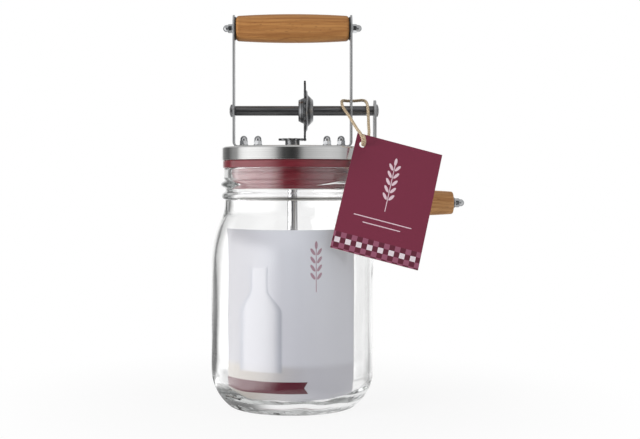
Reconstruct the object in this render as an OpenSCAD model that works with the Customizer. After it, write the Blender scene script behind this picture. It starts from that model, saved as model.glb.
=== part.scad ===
// Glass jar butter churn: a hand crank on the lid turns a dasher inside the jar through a
// right-angle gear. Millimetres. The origin is the centre of the jar's base, +Z is up, the
// crank is on the +X side and the front of the churn faces -Y.

/* [Jar] */
// Outside diameter of the jar's body
jar_d = 115; // [105:1:125]
// Height of the jar up to its rim
jar_h = 167.5; // [155:0.5:180]
// Thickness of the glass wall
glass_t = 3.5; // [3:0.1:4.5]
// Thickness of the glass floor
floor_t = 6; // [5:0.5:8]
// Radius of the curve between the wall and the base
base_corner = 33; // [29:1:37]
// How far the edge of the base lies inside the wall
base_in = 13; // [11:0.5:14.5]
// Radius of the edge of the base
base_edge = 4; // [2:0.5:6]
// Radius of the corner inside the jar
inner_corner = 18; // [15:0.5:20]
// Width of the flat ring that the jar stands on
foot_ring = 5; // [3:0.5:8]
// Height of the hollow under the base
push_up = 2.5; // [1:0.5:4]
// Height of the curved shoulder
shoulder_h = 35; // [28:1:42]
// Height of the neck from the shoulder to the rim
neck_h = 30.5; // [28:0.5:36]
// Inside diameter of the mouth
mouth_d = 87.6; // [84:0.2:89]
// Thickness of the glass at the neck
neck_t = 4.4; // [3.6:0.1:5]
// Height of the bead above the foot of the neck
bead_up = 9; // [7:0.5:12]
// Height of the groove between the bead and the thread ridge
groove_h = 4.4; // [2:0.1:5]
// How far the bead and the thread ridge stand out from the neck
ridge_out = 2; // [1:0.1:2.4]
// Height of the bead, and of the thread ridge
ridge_h = 3.8; // [3:0.1:5]
// Depth of the groove between the bead and the thread ridge
groove_in = 0.6; // [0.2:0.1:1]
// How far the rim stands out from the neck
rim_out = 0.8; // [0.4:0.1:1.2]
// Radius of the round edges of the rim
rim_round = 1.4; // [0.8:0.1:1.8]

/* [Lid] */
// Outside diameter of the steel cap
cap_d = 101; // [97:0.5:106]
// Height of the steel cap
cap_h = 9.4; // [7:0.1:13]
// Thickness of the cap's sheet steel
cap_t = 0.9; // [0.6:0.1:1.4]
// Radius of the cap's top edge
cap_round = 1.6; // [1.5:0.1:3]
// Outside diameter of the seal's flange
flange_d = 99; // [95:0.5:100]
// Thickness of the seal's flange on the rim
flange_t = 5.6; // [3:0.1:8]
// Depth of the seal's sleeve below the rim
sleeve_h = 13.7; // [10:0.1:18]
// Thickness of the seal's sleeve
sleeve_t = 2.2; // [1.6:0.1:3]
// How far the sealing ribs stand out from the sleeve
rib_out = 0.9; // [0.5:0.1:1.2]
// Number of sealing ribs around the sleeve
rib_count = 3; // [2:1:4]
// Wall of the spigot that carries the seal
spigot_t = 2.4; // [1.6:0.1:3]
// Height of the lip that holds the seal on its spigot
lip_h = 1.2; // [0.8:0.1:2]

/* [Handle] */
// Length of the wooden grip
grip_len = 80.4; // [70:0.2:90]
// Diameter of the grip at its middle
grip_d = 20.4; // [18:0.2:23]
// Diameter of the grip at its ends
grip_end_d = 17.8; // [15:0.2:18]
// Height of the grip's axis above the lid
grip_rise = 84.6; // [78:0.2:95]
// Diameter of the rod through the grip
grip_rod_d = 4; // [3.5:0.1:5]
// Width of the flat steel straps
strap_w = 15; // [12:0.5:18]
// Thickness of the straps
strap_t = 1.3; // [1:0.1:2]
// Inside radius of the bend at the foot of a strap
strap_bend = 2.4; // [1.5:0.1:4]
// How far the straps rise above the grip's axis
strap_top = 9.6; // [8:0.1:14]
// Length of a strap's foot on the lid
foot_len = 24.2; // [22:0.1:28]
// Distance of the outer foot bolt from the outside of its strap
bolt_inset = 7.8; // [7.5:0.1:8.8]
// Distance between the two bolts of a foot
bolt_pitch = 10; // [8:0.1:11]

/* [Fasteners] */
// Thread diameter of the small bolts and nuts
bolt_d = 3; // [2.5:0.1:3.4]
// Width of the acorn nuts across their flats
nut_af = 5.6; // [5.2:0.1:6.4]
// Height of the hexagon of an acorn nut
nut_hex_h = 3; // [2:0.1:4]
// Height of the domed end of an acorn nut
nut_dome_h = 3.4; // [3:0.1:5]
// Thickness of the round face under an acorn nut
nut_face_t = 0.6; // [0.4:0.1:1]
// How far that round face stands out from the flats
nut_face_out = 0.5; // [0.4:0.1:0.8]
// How far the dome stands in from the flats
nut_dome_in = 0.2; // [0.1:0.1:0.5]
// Thickness of the plain washers
washer_t = 0.9; // [0.6:0.1:1.4]
// Diameter of the bolt and screw heads
head_d = 9; // [8:0.1:10]
// Height of the bolt and screw heads
head_h = 2.2; // [1.5:0.1:3]
// Diameter of the screws in the ends of the crank shaft
screw_d = 3; // [2.4:0.1:3.2]
// Depth of the screws in the crank shaft
screw_len = 9; // [6:0.5:14]
// Diameter of the heads of the foot bolts
bolt_head_d = 5.4; // [4.8:0.1:6]
// Diameter of the grub screws and cross pins
pin_d = 2; // [1.4:0.1:2.4]

/* [Drive] */
// Distance from tooth to tooth along the pitch circles
tooth_pitch = 4.6; // [4.4:0.05:4.8]
// Number of teeth on the drive wheel
wheel_teeth = 28; // [26:1:30]
// Number of teeth on the pinion
pinion_teeth = 12; // [11:1:13]
// Width of a tooth at its tip
tooth_tip = 1.2; // [1:0.05:1.3]
// Width of a tooth at its root
tooth_root = 2; // [1.8:0.05:2.1]
// Height of the wheel's teeth above the pitch circle
wheel_tooth_out = 1; // [0.8:0.05:1.2]
// Depth of the wheel's teeth below the pitch circle
wheel_tooth_in = 1.4; // [1.2:0.05:1.8]
// Height of the pinion's teeth above the pitch circle
pinion_tooth_out = 1.4; // [1.1:0.05:1.5]
// Depth of the pinion's teeth below the pitch circle
pinion_tooth_in = 2; // [1.6:0.05:2.4]
// Thickness of the wheel's toothed rim
rim_t = 1.4; // [1:0.1:1.5]
// Thickness of the pinion's toothed plate
plate_t = 1.4; // [1:0.1:1.5]
// Diameter of the wheel's hub at its two faces
hub_d = 15; // [13:0.2:17]
// Length of the hub on the left of the rim
hub_left = 4.6; // [3.5:0.1:6]
// Length of the hub on the right of the rim
hub_right = 6; // [5:0.1:8]
// Diameter at the foot of the hub's left cone
cone_left_d = 18.6; // [17:0.2:22]
// Diameter at the foot of the hub's right cone
cone_right_d = 23; // [19:0.2:26]
// Diameter of the thicker web around the cones
web_d = 30; // [27:0.2:34]
// How far the web stands out from the rim
web_out = 1.2; // [0.4:0.1:2]
// Diameter of the crank shaft
shaft_d = 7; // [6:0.1:7.5]
// Diameter of the crank shaft's journal in the left strap
journal_d = 5.4; // [5:0.1:5.8]

/* [Crank] */
// Distance from the crank shaft to the knob's pin
crank_r = 65.5; // [55:0.5:75]
// Width of the crank arm
arm_w = 15; // [12:0.5:16]
// Thickness of the crank arm
arm_t = 1.6; // [1.2:0.1:2.4]
// Distance from the right strap to the crank arm
arm_off = 15.4; // [12:0.1:20]
// Side of the square end of the shaft in the arm
tenon = 4.6; // [4:0.1:4.8]
// Length of the wooden knob
knob_len = 53.5; // [42:0.5:60]
// Diameter of the knob at its middle
knob_d = 18; // [17:0.2:21]
// Diameter of the knob at its ends
knob_end_d = 15.8; // [12:0.2:17]
// Diameter of the pin that the knob turns on
knob_pin_d = 5; // [4:0.1:6]
// Diameter of the washers at the knob's ends
knob_washer_d = 7.6; // [7:0.2:10]
// Radius of the round ends of the grip
wood_round = 2.4; // [1:0.1:3]
// Radius of the round ends of the knob
knob_round = 1.4; // [0.8:0.1:3]

/* [Dasher] */
// Diameter of the dasher's rod
rod_d = 7; // [5.5:0.1:7.5]
// Outside diameter of the bush in the lid
bush_d = 11; // [9.5:0.1:13]
// Diameter of the bush's flange
bush_flange_d = 15; // [14:0.2:18]
// Thickness of the bush's flange
bush_flange_t = 0.8; // [0.8:0.1:2]
// How far the bush stands out under the lid
bush_below = 3; // [1:0.5:5]
// Diameter of the pinion's hub
pinion_hub_d = 10.4; // [9.4:0.1:11.4]
// Height of the pinion's hub under its plate
pinion_hub_h = 3.7; // [3.5:0.1:7]
// Diameter of the collar under the bush
collar_d = 13; // [10.6:0.2:15]
// Height of the collar
collar_h = 6; // [4.5:0.5:9]
// Diameter of the dasher's paddle
paddle_d = 66; // [54:1:74]
// Height of the paddle
paddle_h = 32; // [28:1:44]
// Thickness of the paddle's blades
blade_t = 3; // [2:0.1:4]
// Diameter of the round holes in the blades
blade_hole_d = 9; // [6:0.2:11]
// Diameter of the paddle's hub
paddle_hub_d = 13; // [10.6:0.2:16]
// Gap between the jar's floor and the dasher's end nut
floor_gap = 7; // [1:0.5:10]

/* [Paper] */
// Height of the leaflet's top edge above the table
leaflet_top = 125; // [105:1:128]
// Angle that the curled leaflet goes round
leaflet_angle = 120; // [80:5:160]
// Angle that the leaflet is turned to the left of the front
leaflet_turn = 3; // [0:1:20]
// Gap between the leaflet's top edge and the glass
leaflet_gap = 0.8; // [0.4:0.1:2]
// Thickness of the folded leaflet
leaflet_t = 0.5; // [0.3:0.1:0.8]
// Width of the swing tag
tag_w = 60.5; // [50:0.5:64]
// Height of the swing tag
tag_h = 84.5; // [72:0.5:90]
// Thickness of the tag's card
tag_t = 0.8; // [0.5:0.1:1.2]
// Diameter of the hole in the tag
tag_hole_d = 4.4; // [3.4:0.1:5]
// Distance of the tag's hole from its left edge
tag_hole_in = 5.2; // [4:0.1:7]
// Distance of the tag's hole from its top edge
tag_hole_down = 7.5; // [6:0.1:12]
// Angle that the tag hangs askew
tag_roll = 15.5; // [10:0.5:20]
// Angle that the tag is turned towards the crank
tag_yaw = 6; // [2:0.5:12]
// Diameter of the twine that the tag hangs on
twine_d = 2; // [1.6:0.1:2.4]

/* [Hidden] */
$fn = 96;

// Clearance between pieces that are fixed together
fit_gap = 0.05;
// Radial clearance of a shaft that turns in its hole
run_gap = 0.08;
// Side clearance between pieces that turn past each other
side_gap = 0.3;
// Overlap of a cut past the face that it opens
cut = 1;
// Points along a quarter of a round outline
arc_n = 8;

jar_r = jar_d / 2;
inner_r = jar_r - glass_t;
mouth_r = mouth_d / 2;
neck_r = mouth_r + neck_t;
neck_z = jar_h - neck_h;
shoulder_z = neck_z - shoulder_h;
bead_z = neck_z + bead_up;
thread_z = bead_z + ridge_h + groove_h;
groove_r = neck_r - groove_in;
rim_r = neck_r + rim_out;

seat_z = jar_h + flange_t;
lid_z = seat_z + cap_h;
cap_r = cap_d / 2;
flange_r = flange_d / 2;
rib_r = mouth_r - run_gap;
sleeve_r = rib_r - rib_out;
spigot_r = sleeve_r - sleeve_t;
core_r = cap_r - cap_t - fit_gap;

bolt_r = bolt_d / 2;
nut_depth = nut_face_t + nut_hex_h;
nut_h = nut_depth + nut_dome_h;

grip_z = lid_z + grip_rise;
strap_in = grip_len / 2 + washer_t;
strap_out = strap_in + strap_t;
bolt_x = [strap_out - bolt_inset, strap_out - bolt_inset - bolt_pitch];

wheel_pitch_r = wheel_teeth * tooth_pitch / (2 * PI);
pinion_pitch_r = pinion_teeth * tooth_pitch / (2 * PI);
hub_z = lid_z + bush_flange_t + side_gap;
plate_z = hub_z + pinion_hub_h;
shaft_z = plate_z + plate_t / 2 + wheel_pitch_r;
wheel_x = pinion_pitch_r;
shaft_r = shaft_d / 2;
journal_r = journal_d / 2;
shaft_left = -(strap_in - side_gap);
journal_end = -(strap_out + side_gap);
arm_x = strap_out + arm_off;
arm_out = arm_x + arm_t;
screw_r = screw_d / 2;
pin_r = pin_d / 2;
head_r = head_d / 2;

knob_z = shaft_z - crank_r;
knob_x = arm_out + washer_t + side_gap;
knob_end = knob_x + knob_len;
shoulder_x = knob_end + side_gap;
knob_pin_r = knob_pin_d / 2;

rod_r = rod_d / 2;
bush_r = bush_d / 2;
bush_end = seat_z - bush_below;
collar_top = bush_end - side_gap;
rod_top = plate_z + plate_t;
nut_tip_z = floor_t + floor_gap;
paddle_z = nut_tip_z + nut_h;
paddle_r = paddle_d / 2;
blade_mid = (paddle_hub_d / 2 + paddle_r) / 2;

inner_bow = bow(shoulder_h, inner_r - mouth_r);
leaflet_up = max(leaflet_top - shoulder_z, 0);
leaflet_r = inner_r - inner_bow + sqrt(inner_bow * inner_bow - leaflet_up * leaflet_up) - leaflet_gap;
corner_in = leaflet_r - inner_r + inner_corner;
leaflet_z = floor_t + inner_corner - sqrt(inner_corner * inner_corner - corner_in * corner_in) + side_gap;

// The twine's route, from the tag's hole over the crank shaft, round the back of the right
// strap and down again, measured from the crank shaft's axis at the middle of that strap
twine_route = [[6.3, -29.9, -24.97], [6.4, -32.4, -23.9], [6, -34.2, -21.1], [4.6, -33.3, -17.6],
    [2.7, -29.4, -14.7], [1, -24.2, -11.2], [-0.7, -18.9, -7.7], [-2.6, -13.9, -4], [-4.7, -9.5, -0.5],
    [-6.2, -6.9, 2.4], [-6.8, -4.2, 4.9], [-6.5, -0.8, 6.8], [-5, 4, 7.6], [-2.4, 8.3, 7.7], [1.3, 9.4, 7.7],
    [5.1, 8.2, 7.8], [7.9, 5.2, 7.8], [9.9, 1.6, 7.1], [11, -2.2, 5.2], [11.5, -5.4, 1.9], [11.6, -7.8, -2],
    [11.6, -10.4, -6.4], [11.5, -13.6, -10.6], [11.5, -17.2, -14.3], [11.2, -20.9, -17.7],
    [10.1, -23.9, -20.9], [8.1, -26.3, -23.9], [6.2, -29.1, -25.23]];
twine_sides = 8;
twine_at = [(strap_in + strap_out) / 2, 0, shaft_z];
tag_hole = twine_at + (twine_route[0] + twine_route[len(twine_route) - 1]) / 2;
// Least gap between the tag's lower corner and the jar
tag_gap = 1.4;
// Place of the tag's lower left corner from its hole, before the tag leans
corner_x = -tag_hole_in * cos(tag_roll) - (tag_h - tag_hole_down) * sin(tag_roll);
corner_down = (tag_h - tag_hole_down) * cos(tag_roll) - tag_hole_in * sin(tag_roll);
// How far the corner hangs in front of the hole, so that it clears the jar
corner_front = sqrt(pow(jar_r + tag_gap, 2) - pow(tag_hole[0] + corner_x, 2)) + tag_hole[1];
tag_lean = asin((corner_front + corner_x * sin(tag_yaw)) / (corner_down * cos(tag_yaw)));

// Points of an arc about a centre, from one angle to another
function arc(c, r, from, to, n = arc_n) =
    [for (i = [0:n]) c + r * [cos(from + (to - from) * i / n), sin(from + (to - from) * i / n)]];

// Points of a half-elliptic ridge that stands out from a radius, from low to high
function ridge(r, out, low, high, n = arc_n) =
    [for (i = [0:n]) [r + out * sin(180 * i / n), (low + high) / 2 - (high - low) / 2 * cos(180 * i / n)]];

// Radius of the circle that rises by a height over a run
function bow(run, rise) = (run * run + rise * rise) / (2 * rise);

// Outline of a toothed disc with straight-sided teeth, the first tooth on +X
function toothed(teeth, root, tip, turn = 0) = [for (i = [0:teeth - 1], k = [[root, -tooth_root],
    [tip, -tooth_tip], [tip, tooth_tip], [root, tooth_root]])
    let (a = 360 * i / teeth + turn) [k[0] * cos(a) - k[1] / 2 * sin(a), k[0] * sin(a) + k[1] / 2 * cos(a)]];

// Unit vector along a vector
function unit(v) = v / norm(v);

// Direction of a route at one of its points
function heading(p, i) = unit(p[min(i + 1, len(p) - 1)] - p[max(i - 1, 0)]);

// Sideways vector of a route at each point, carried along so that the tube doesn't twist
function sideways(p, i = 0, last = [0, 0, 1]) = i == len(p) ? [] :
    let (h = heading(p, i), s = unit(last - (last * h) * h)) concat([s], sideways(p, i + 1, s));

// A round tube swept along a route
module swept_tube(route, d, sides) {
    side = sideways(route);
    rings = [for (i = [0:len(route) - 1], k = [0:sides - 1]) let (h = heading(route, i), a = 360 * k / sides)
        route[i] + d / 2 * (cos(a) * side[i] + sin(a) * cross(h, side[i]))];
    last = (len(route) - 1) * sides;
    walls = [for (i = [0:len(route) - 2], k = [0:sides - 1]) let (a = i * sides + k,
        b = i * sides + (k + 1) % sides) each [[a, b + sides, b], [a, a + sides, b + sides]]];
    ends = [for (k = [1:sides - 2]) each [[0, k, k + 1], [last, last + k + 1, last + k]]];
    polyhedron(rings, concat(walls, ends));
}

// An acorn nut with its own washer face, standing on z = 0, with a blind thread hole
module acorn_nut() {
    dome_r = nut_af / 2 - nut_dome_in;
    dome_z = nut_h - dome_r;
    difference() {
        union() {
            cylinder(r = nut_af / 2 + nut_face_out, h = nut_face_t);
            cylinder(d = nut_af / cos(30), h = nut_depth, $fn = 6);
            rotate_extrude()
                polygon(concat([[0, 0], [dome_r, 0]], arc([0, dome_z], dome_r, 0, 90)));
        }
        translate([0, 0, -cut])
            cylinder(r = bolt_r + fit_gap, h = nut_depth + cut);
    }
}

// A screw along +Z with a domed head under z = 0 and a plain shank above it
module pan_screw(len) {
    head_bow = bow(head_r, head_h / 2);
    rotate_extrude()
        polygon(concat([[0, 0], [head_r, 0]], arc([0, head_bow - head_h], head_bow,
            asin(head_r / head_bow) - 90, -90)));
    cylinder(r = screw_r, h = len);
}

// A turned wooden handle along Z, fatter at its middle, with a hole for its rod
module turned_wood(len, mid_d, end_d, hole_r, end_round) {
    swell = bow(len / 2, (mid_d - end_d) / 2);
    lean = asin((len / 2 - end_round) / swell);
    side_r = mid_d / 2 - swell * (1 - cos(lean));
    half = concat(arc([mid_d / 2 - swell, 0], swell, 0, lean),
        arc([side_r - end_round, len / 2 - end_round], end_round, 0, 90));
    lower = [for (i = [len(half) - 1:-1:1]) [half[i][0], -half[i][1]]];
    difference() {
        rotate_extrude()
            polygon(concat([[0, -len / 2]], lower, half, [[0, len / 2]]));
        cylinder(r = hole_r, h = len + 2 * cut, center = true);
    }
}

// Turns a shape that was made along +Z so that it lies along +X
module along_x() {
    rotate([0, 90, 0])
        children();
}

// Places a shape at each of the four foot bolts
module at_bolts() {
    for (side = [-1, 1], x = bolt_x)
        translate([side * x, 0, 0])
            children();
}

// Flat washer with a hole, standing on z = 0
module washer(r, hole_r) {
    difference() {
        cylinder(r = r, h = washer_t);
        translate([0, 0, -cut])
            cylinder(r = hole_r, h = washer_t + 2 * cut);
    }
}

module glass_jar() {
    curve_z = sqrt(pow(base_corner, 2) - pow(base_corner - base_in, 2));
    edge_out = sqrt(pow(base_corner - base_edge, 2) - pow(curve_z - base_edge, 2));
    edge_turn = atan((base_edge - curve_z) / edge_out);
    foot_out = jar_r - base_corner + edge_out;
    foot_in = foot_out - foot_ring;
    dome = bow(foot_in, push_up);
    shoulder = bow(shoulder_h, jar_r - neck_r);
    outer = concat(
        arc([0, push_up - dome], dome, 90, 90 - asin(foot_in / dome)),
        arc([foot_out, base_edge], base_edge, -90, edge_turn),
        arc([jar_r - base_corner, curve_z], base_corner, edge_turn, 0),
        arc([jar_r - shoulder, shoulder_z], shoulder, 0, asin(shoulder_h / shoulder)),
        ridge(neck_r, ridge_out, bead_z, bead_z + ridge_h),
        [[groove_r, bead_z + ridge_h + groove_in]],
        ridge(groove_r, ridge_out + groove_in, thread_z, thread_z + ridge_h),
        [[rim_r, thread_z + ridge_h + rim_out]],
        arc([rim_r - rim_round, jar_h - rim_round], rim_round, 0, 90));
    inner = concat(
        arc([mouth_r + rim_round, jar_h - rim_round], rim_round, 90, 180),
        arc([inner_r - inner_bow, shoulder_z], inner_bow, asin(shoulder_h / inner_bow), 0),
        arc([inner_r - inner_corner, floor_t + inner_corner], inner_corner, 0, -90),
        [[0, floor_t]]);
    color("lightcyan", 0.4)
        rotate_extrude()
            polygon(concat(outer, inner));
}

module recipe_leaflet() {
    color("lightsteelblue")
        rotate([0, 0, -90 - leaflet_turn - leaflet_angle / 2])
            rotate_extrude(angle = leaflet_angle)
                translate([leaflet_r - leaflet_t, leaflet_z])
                    square([leaflet_t, leaflet_top - leaflet_z]);
}

module lid_cap() {
    in_r = cap_r - cap_t;
    in_round = cap_round - cap_t;
    color("silver")
        difference() {
            rotate_extrude()
                polygon(concat([[in_r, seat_z], [cap_r, seat_z]],
                    arc([cap_r - cap_round, lid_z - cap_round], cap_round, 0, 90),
                    [[0, lid_z], [0, lid_z - cap_t]],
                    arc([in_r - in_round, lid_z - cap_t - in_round], in_round, 90, 0)));
            translate([0, 0, lid_z - cap_t - cut])
                cylinder(r = bush_r + fit_gap, h = cap_t + 2 * cut);
            at_bolts()
                translate([0, 0, lid_z - cap_t - cut])
                    cylinder(r = bolt_r + fit_gap, h = cap_t + 2 * cut);
        }
}

module lid_core() {
    top = lid_z - cap_t - fit_gap;
    low = jar_h - sleeve_h - lip_h - fit_gap;
    corner = max(cap_round - cap_t, 0.5) + 0.4;
    lip_r = spigot_r + sleeve_t / 2;
    in_r = spigot_r - spigot_t;
    color("gainsboro")
        difference() {
            rotate_extrude()
                polygon([[0, top], [0, seat_z], [in_r, seat_z], [in_r, low], [lip_r, low], [lip_r, low + lip_h],
                    [spigot_r, low + lip_h], [spigot_r, seat_z], [core_r, seat_z],
                    [core_r, top - corner], [core_r - corner, top]]);
            translate([0, 0, seat_z - cut])
                cylinder(r = bush_r + fit_gap, h = cap_h + 2 * cut);
            at_bolts() {
                translate([0, 0, seat_z - cut])
                    cylinder(r = bolt_r + fit_gap, h = cap_h + 2 * cut);
                translate([0, 0, seat_z - cut])
                    cylinder(d = bolt_head_d + 2 * fit_gap, h = head_h + cut);
            }
        }
}

module lid_seal() {
    in_r = spigot_r + fit_gap;
    low = jar_h - sleeve_h;
    step = (sleeve_h - rim_round) / rib_count;
    edge = flange_t / 4;
    ribs = [for (i = [0:rib_count - 1]) each ridge(sleeve_r, rib_r - sleeve_r,
        low + step * (i + 0.2), low + step * (i + 0.7))];
    color("brown")
        rotate_extrude()
            polygon(concat([[in_r, low], [sleeve_r, low]], ribs,
                [[sleeve_r, jar_h], [flange_r - edge, jar_h]],
                arc([flange_r - edge, jar_h + edge], edge, -90, 0),
                arc([flange_r - edge, seat_z - edge], edge, 0, 90),
                [[in_r, seat_z]]));
}

module lid_bush() {
    color("ivory")
        difference() {
            union() {
                translate([0, 0, bush_end])
                    cylinder(r = bush_r, h = lid_z - bush_end);
                translate([0, 0, lid_z])
                    cylinder(d = bush_flange_d, h = bush_flange_t);
            }
            translate([0, 0, bush_end - cut])
                cylinder(r = rod_r + run_gap, h = lid_z + bush_flange_t - bush_end + 2 * cut);
        }
}

// One strap on the +X side: an upright with a round top, a bend and a foot turned inwards
module strap(shaft_hole_r) {
    bend = strap_bend + strap_t;
    top = grip_z + strap_top;
    round_z = top - strap_w / 2;
    difference() {
        union() {
            intersection() {
                translate([strap_in, -strap_w / 2, lid_z + bend])
                    cube([strap_t, strap_w, top - lid_z - bend]);
                translate([strap_in - cut, 0, 0])
                    rotate([90, 0, 90])
                        linear_extrude(strap_t + 2 * cut) {
                            translate([-strap_w / 2, 0])
                                square([strap_w, round_z]);
                            translate([0, round_z])
                                circle(strap_w / 2);
                        }
            }
            translate([strap_out - bend, strap_w / 2, lid_z + bend])
                rotate([90, 0, 0])
                    linear_extrude(strap_w)
                        intersection() {
                            difference() {
                                circle(bend);
                                circle(strap_bend);
                            }
                            translate([0, -bend])
                                square(bend);
                        }
            translate([strap_out - foot_len, -strap_w / 2, lid_z])
                cube([foot_len - bend, strap_w, strap_t]);
        }
        translate([strap_in - cut, 0, shaft_z])
            along_x()
                cylinder(r = shaft_hole_r, h = strap_t + 2 * cut);
        translate([strap_in - cut, 0, grip_z])
            along_x()
                cylinder(r = bolt_r + fit_gap, h = strap_t + 2 * cut);
        for (x = bolt_x)
            translate([x, 0, lid_z - cut])
                cylinder(r = bolt_r + fit_gap, h = strap_t + 2 * cut);
    }
}

module left_strap() {
    color("silver")
        mirror([1, 0, 0])
            strap(journal_r + run_gap);
}

module right_strap() {
    color("silver")
        strap(shaft_r + run_gap);
}

module strap_bolts() {
    color("dimgray")
        at_bolts() {
            translate([0, 0, seat_z])
                cylinder(d = bolt_head_d, h = head_h);
            translate([0, 0, seat_z])
                cylinder(r = bolt_r, h = lid_z + strap_t + nut_depth - fit_gap - seat_z);
        }
}

module strap_nuts() {
    color("gray")
        at_bolts()
            translate([0, 0, lid_z + strap_t])
                acorn_nut();
}

module top_grip() {
    color("burlywood")
        translate([0, 0, grip_z])
            along_x()
                turned_wood(grip_len, grip_d, grip_end_d, grip_rod_d / 2 + run_gap, wood_round);
}

module grip_rod() {
    half = strap_out + nut_depth - fit_gap;
    color("dimgray")
        translate([0, 0, grip_z])
            along_x() {
                cylinder(d = grip_rod_d, h = grip_len, center = true);
                cylinder(r = bolt_r, h = 2 * half, center = true);
            }
}

module grip_washers() {
    color("dimgray")
        for (side = [0, 1])
            mirror([side, 0, 0])
                translate([grip_len / 2, 0, grip_z])
                    along_x()
                        washer(grip_end_d / 2 - wood_round / 4, bolt_r + fit_gap);
}

module grip_nuts() {
    color("gray")
        for (side = [0, 1])
            mirror([side, 0, 0])
                translate([strap_out, 0, grip_z])
                    along_x()
                        acorn_nut();
}

module crank_shaft() {
    bore = screw_r + fit_gap;
    grub_x = wheel_x + hub_right * 0.7;
    color("dimgray")
        difference() {
            union() {
                translate([shaft_left, 0, shaft_z])
                    along_x()
                        cylinder(r = shaft_r, h = arm_x - shaft_left);
                translate([journal_end, 0, shaft_z])
                    along_x()
                        cylinder(r = journal_r, h = shaft_left - journal_end);
                translate([arm_x, -tenon / 2, shaft_z - tenon / 2])
                    cube([arm_t, tenon, tenon]);
            }
            translate([journal_end - cut, 0, shaft_z])
                along_x()
                    cylinder(r = bore, h = screw_len + cut);
            translate([arm_out - screw_len, 0, shaft_z])
                along_x()
                    cylinder(r = bore, h = screw_len + cut);
            translate([grub_x, 0, shaft_z + shaft_r - pin_d / 4])
                cylinder(r = pin_r + fit_gap, h = shaft_r);
        }
}

module shaft_screws() {
    color("gray") {
        translate([journal_end, 0, shaft_z])
            along_x()
                pan_screw(screw_len - side_gap);
        translate([arm_out, 0, shaft_z])
            mirror([1, 0, 0])
                along_x()
                    pan_screw(screw_len - side_gap);
    }
}

module drive_wheel() {
    grub_x = hub_right * 0.7;
    bore = shaft_r + fit_gap;
    half_rim = rim_t / 2;
    color("darkslategray")
        translate([wheel_x, 0, shaft_z])
            difference() {
                union() {
                    along_x()
                        rotate_extrude()
                            polygon([[0, -hub_left], [hub_d / 2, -hub_left], [cone_left_d / 2, -half_rim],
                                [web_d / 2, -half_rim], [web_d / 2, half_rim],
                                [web_d / 2 - web_out, half_rim + web_out],
                                [cone_right_d / 2, half_rim + web_out], [hub_d / 2, hub_right],
                                [0, hub_right]]);
                    translate([-half_rim, 0, 0])
                        along_x()
                            linear_extrude(rim_t)
                                polygon(toothed(wheel_teeth, wheel_pitch_r - wheel_tooth_in,
                                    wheel_pitch_r + wheel_tooth_out));
                }
                translate([-hub_left - cut, 0, 0])
                    along_x()
                        cylinder(r = bore, h = hub_left + hub_right + 2 * cut);
                translate([grub_x, 0, 0])
                    cylinder(r = pin_r + fit_gap, h = cone_right_d / 2);
            }
}

module wheel_grub_screw() {
    color("gray")
        translate([wheel_x + hub_right * 0.7, 0, shaft_z + shaft_r - pin_d / 4 + fit_gap])
            cylinder(r = pin_r, h = hub_d / 2 - shaft_r + pin_d / 4);
}

module crank_arm() {
    color("silver")
        difference() {
            translate([arm_x, 0, shaft_z])
                rotate([90, 0, 90])
                    linear_extrude(arm_t) {
                        circle(d = arm_w);
                        translate([0, -crank_r])
                            circle(d = arm_w);
                        translate([-arm_w / 2, -crank_r])
                            square([arm_w, crank_r]);
                    }
            translate([arm_x - cut, -tenon / 2 - fit_gap, shaft_z - tenon / 2 - fit_gap])
                cube([arm_t + 2 * cut, tenon + 2 * fit_gap, tenon + 2 * fit_gap]);
            translate([arm_x - cut, 0, knob_z])
                along_x()
                    cylinder(r = knob_pin_r + fit_gap, h = arm_t + 2 * cut);
        }
}

module knob_pin() {
    color("dimgray")
        translate([0, 0, knob_z]) {
            translate([arm_x - head_h / 2, 0, 0])
                along_x()
                    cylinder(r = head_r, h = head_h / 2);
            translate([arm_x, 0, 0])
                along_x()
                    cylinder(r = knob_pin_r, h = shoulder_x - arm_x);
            translate([arm_x, 0, 0])
                along_x()
                    cylinder(r = bolt_r, h = shoulder_x + washer_t + nut_depth - fit_gap - arm_x);
        }
}

module knob_washers() {
    color("gray") {
        translate([arm_out, 0, knob_z])
            along_x()
                washer(knob_washer_d / 2, knob_pin_r + fit_gap);
        translate([shoulder_x, 0, knob_z])
            along_x()
                washer(knob_washer_d / 2, bolt_r + fit_gap);
    }
}

module knob_nut() {
    color("gray")
        translate([shoulder_x + washer_t, 0, knob_z])
            along_x()
                acorn_nut();
}

module crank_knob() {
    color("burlywood")
        translate([knob_x + knob_len / 2, 0, knob_z])
            along_x()
                turned_wood(knob_len, knob_d, knob_end_d, knob_pin_r + run_gap, knob_round);
}

module pinion() {
    color("darkslategray")
        difference() {
            union() {
                translate([0, 0, hub_z])
                    cylinder(d = pinion_hub_d, h = pinion_hub_h);
                translate([0, 0, plate_z])
                    linear_extrude(plate_t)
                        polygon(toothed(pinion_teeth, pinion_pitch_r - pinion_tooth_in,
                            pinion_pitch_r + pinion_tooth_out, 180 / pinion_teeth));
            }
            translate([0, 0, hub_z - cut])
                cylinder(r = rod_r + fit_gap, h = pinion_hub_h + plate_t + 2 * cut);
            translate([0, 0, hub_z + pinion_hub_h / 2])
                rotate([90, 0, 0])
                    cylinder(r = pin_r + fit_gap, h = pinion_hub_d + 2 * cut, center = true);
        }
}

module pinion_pin() {
    color("gray")
        translate([0, 0, hub_z + pinion_hub_h / 2])
            rotate([90, 0, 0])
                cylinder(r = pin_r, h = pinion_hub_d - 2 * fit_gap, center = true);
}

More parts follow.
